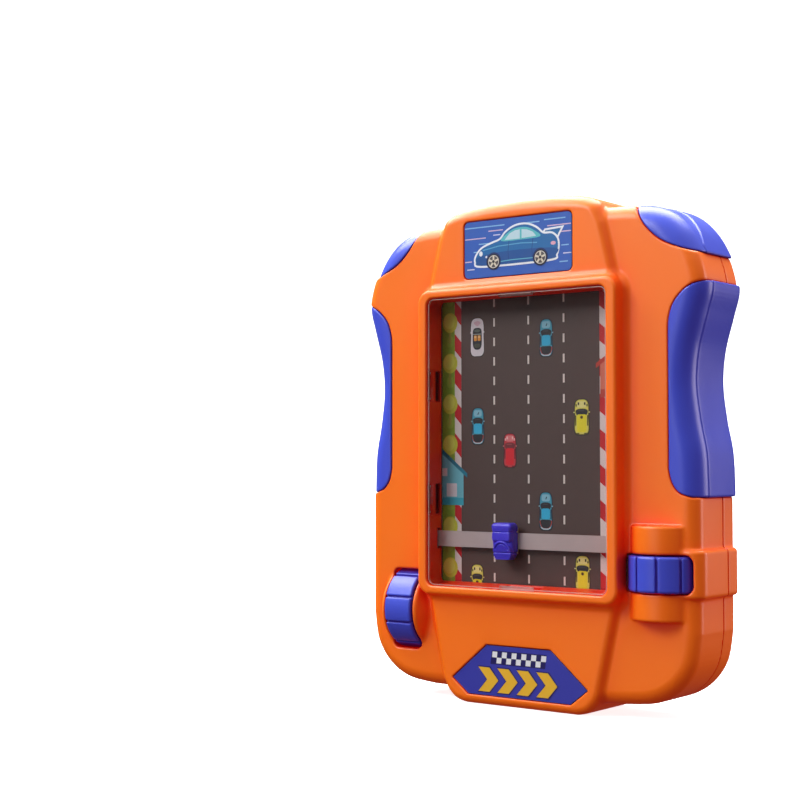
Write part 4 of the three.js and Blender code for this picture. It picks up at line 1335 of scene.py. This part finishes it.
def make_stage():
    """A pale round floor whose rim curves up all round, like a studio sweep."""
    flat_r, rim_r, height = 1.1, 1.0, 1.5
    steps, sides = 12, 64
    profile = [(0.0, 0.0)]
    for i in range(steps + 1):
        turn = i / steps * math.pi / 2
        profile.append((flat_r + rim_r * math.sin(turn), rim_r * (1 - math.cos(turn))))
    profile.append((flat_r + rim_r, height))
    turns = [2 * math.pi * k / sides for k in range(sides)]
    points = [(r * math.cos(turn), r * math.sin(turn), z) for r, z in profile for turn in turns]
    faces = []
    for ring in range(len(profile) - 1):
        for k in range(sides):
            a, b = ring * sides + k, ring * sides + (k + 1) % sides
            faces.append((a, b, b + sides, a + sides))
    mesh = bpy.data.meshes.new("sweep")
    mesh.from_pydata(points, [], faces)
    mesh.shade_smooth()
    sweep = bpy.data.objects.new("sweep", mesh)
    add_to_scene(sweep)
    material, tree = new_material("pale_sweep")
    inputs = {"Base Color": (0.9, 0.9, 0.9, 1), "Roughness": 0.8, "Emission Color": (1, 1, 1, 1),
              "Emission Strength": 0.85}
    with_surface(material, add_node(tree, "BsdfPrincipled", inputs))
    mesh.materials.append(material)
    sweep.visible_diffuse = False
    sweep.visible_glossy = False
    sweep.visible_shadow = False


def make_world():
    """Soft studio surround: bright overhead, dim at eye level and below."""
    world = bpy.data.worlds.new("studio")
    bpy.context.scene.world = world
    world.use_nodes = True
    tree = world.node_tree
    where = add_node(tree, "TexCoord", {}).outputs["Generated"]
    up = add_node(tree, "SeparateXYZ", {"Vector": where}).outputs["Z"]
    ramp = add_node(tree, "ValToRGB", {"Fac": map_range(tree, up, -1.0, 1.0)})
    ramp.color_ramp.interpolation = "EASE"
    stops = ((0.0, 0.06), (0.3, 0.05), (0.5, 0.08), (0.68, 0.14), (0.9, 0.8))
    for index, (at, level) in enumerate(stops):
        stop = ramp.color_ramp.elements[index] if index < 2 else ramp.color_ramp.elements.new(at)
        stop.position = at
        stop.color = (level, level, level, 1)
    tree.links.new(ramp.outputs["Color"], tree.nodes["Background"].inputs["Color"])


make_camera()
make_world()
make_stage()
area_light("overhead", (-0.15, 0.35, 1.15), (0, 0, 0.1), (1.0, 0.8), 24)
area_light("top back", (-0.80, 0.50, 1.05), (0, 0, 0.1), (0.5, 0.5), 8)
area_light("top", (-0.85, -0.18, 1.05), (0, 0, 0.1), (0.65, 0.65), 13)
area_light("key", (-0.60, -0.95, 0.90), (0, 0, 0.12), (0.60, 0.60), 11)
area_light("front", (-0.30, -1.40, 0.20), (0, 0, 0.1), (0.80, 0.80), 2)
area_light("side", (1.00, 0.80, 0.30), (0.05, 0, 0.1), (0.6, 0.8), 7, (1.0, 0.84, 0.88))
bpy.context.scene.view_settings.view_transform = "Standard"
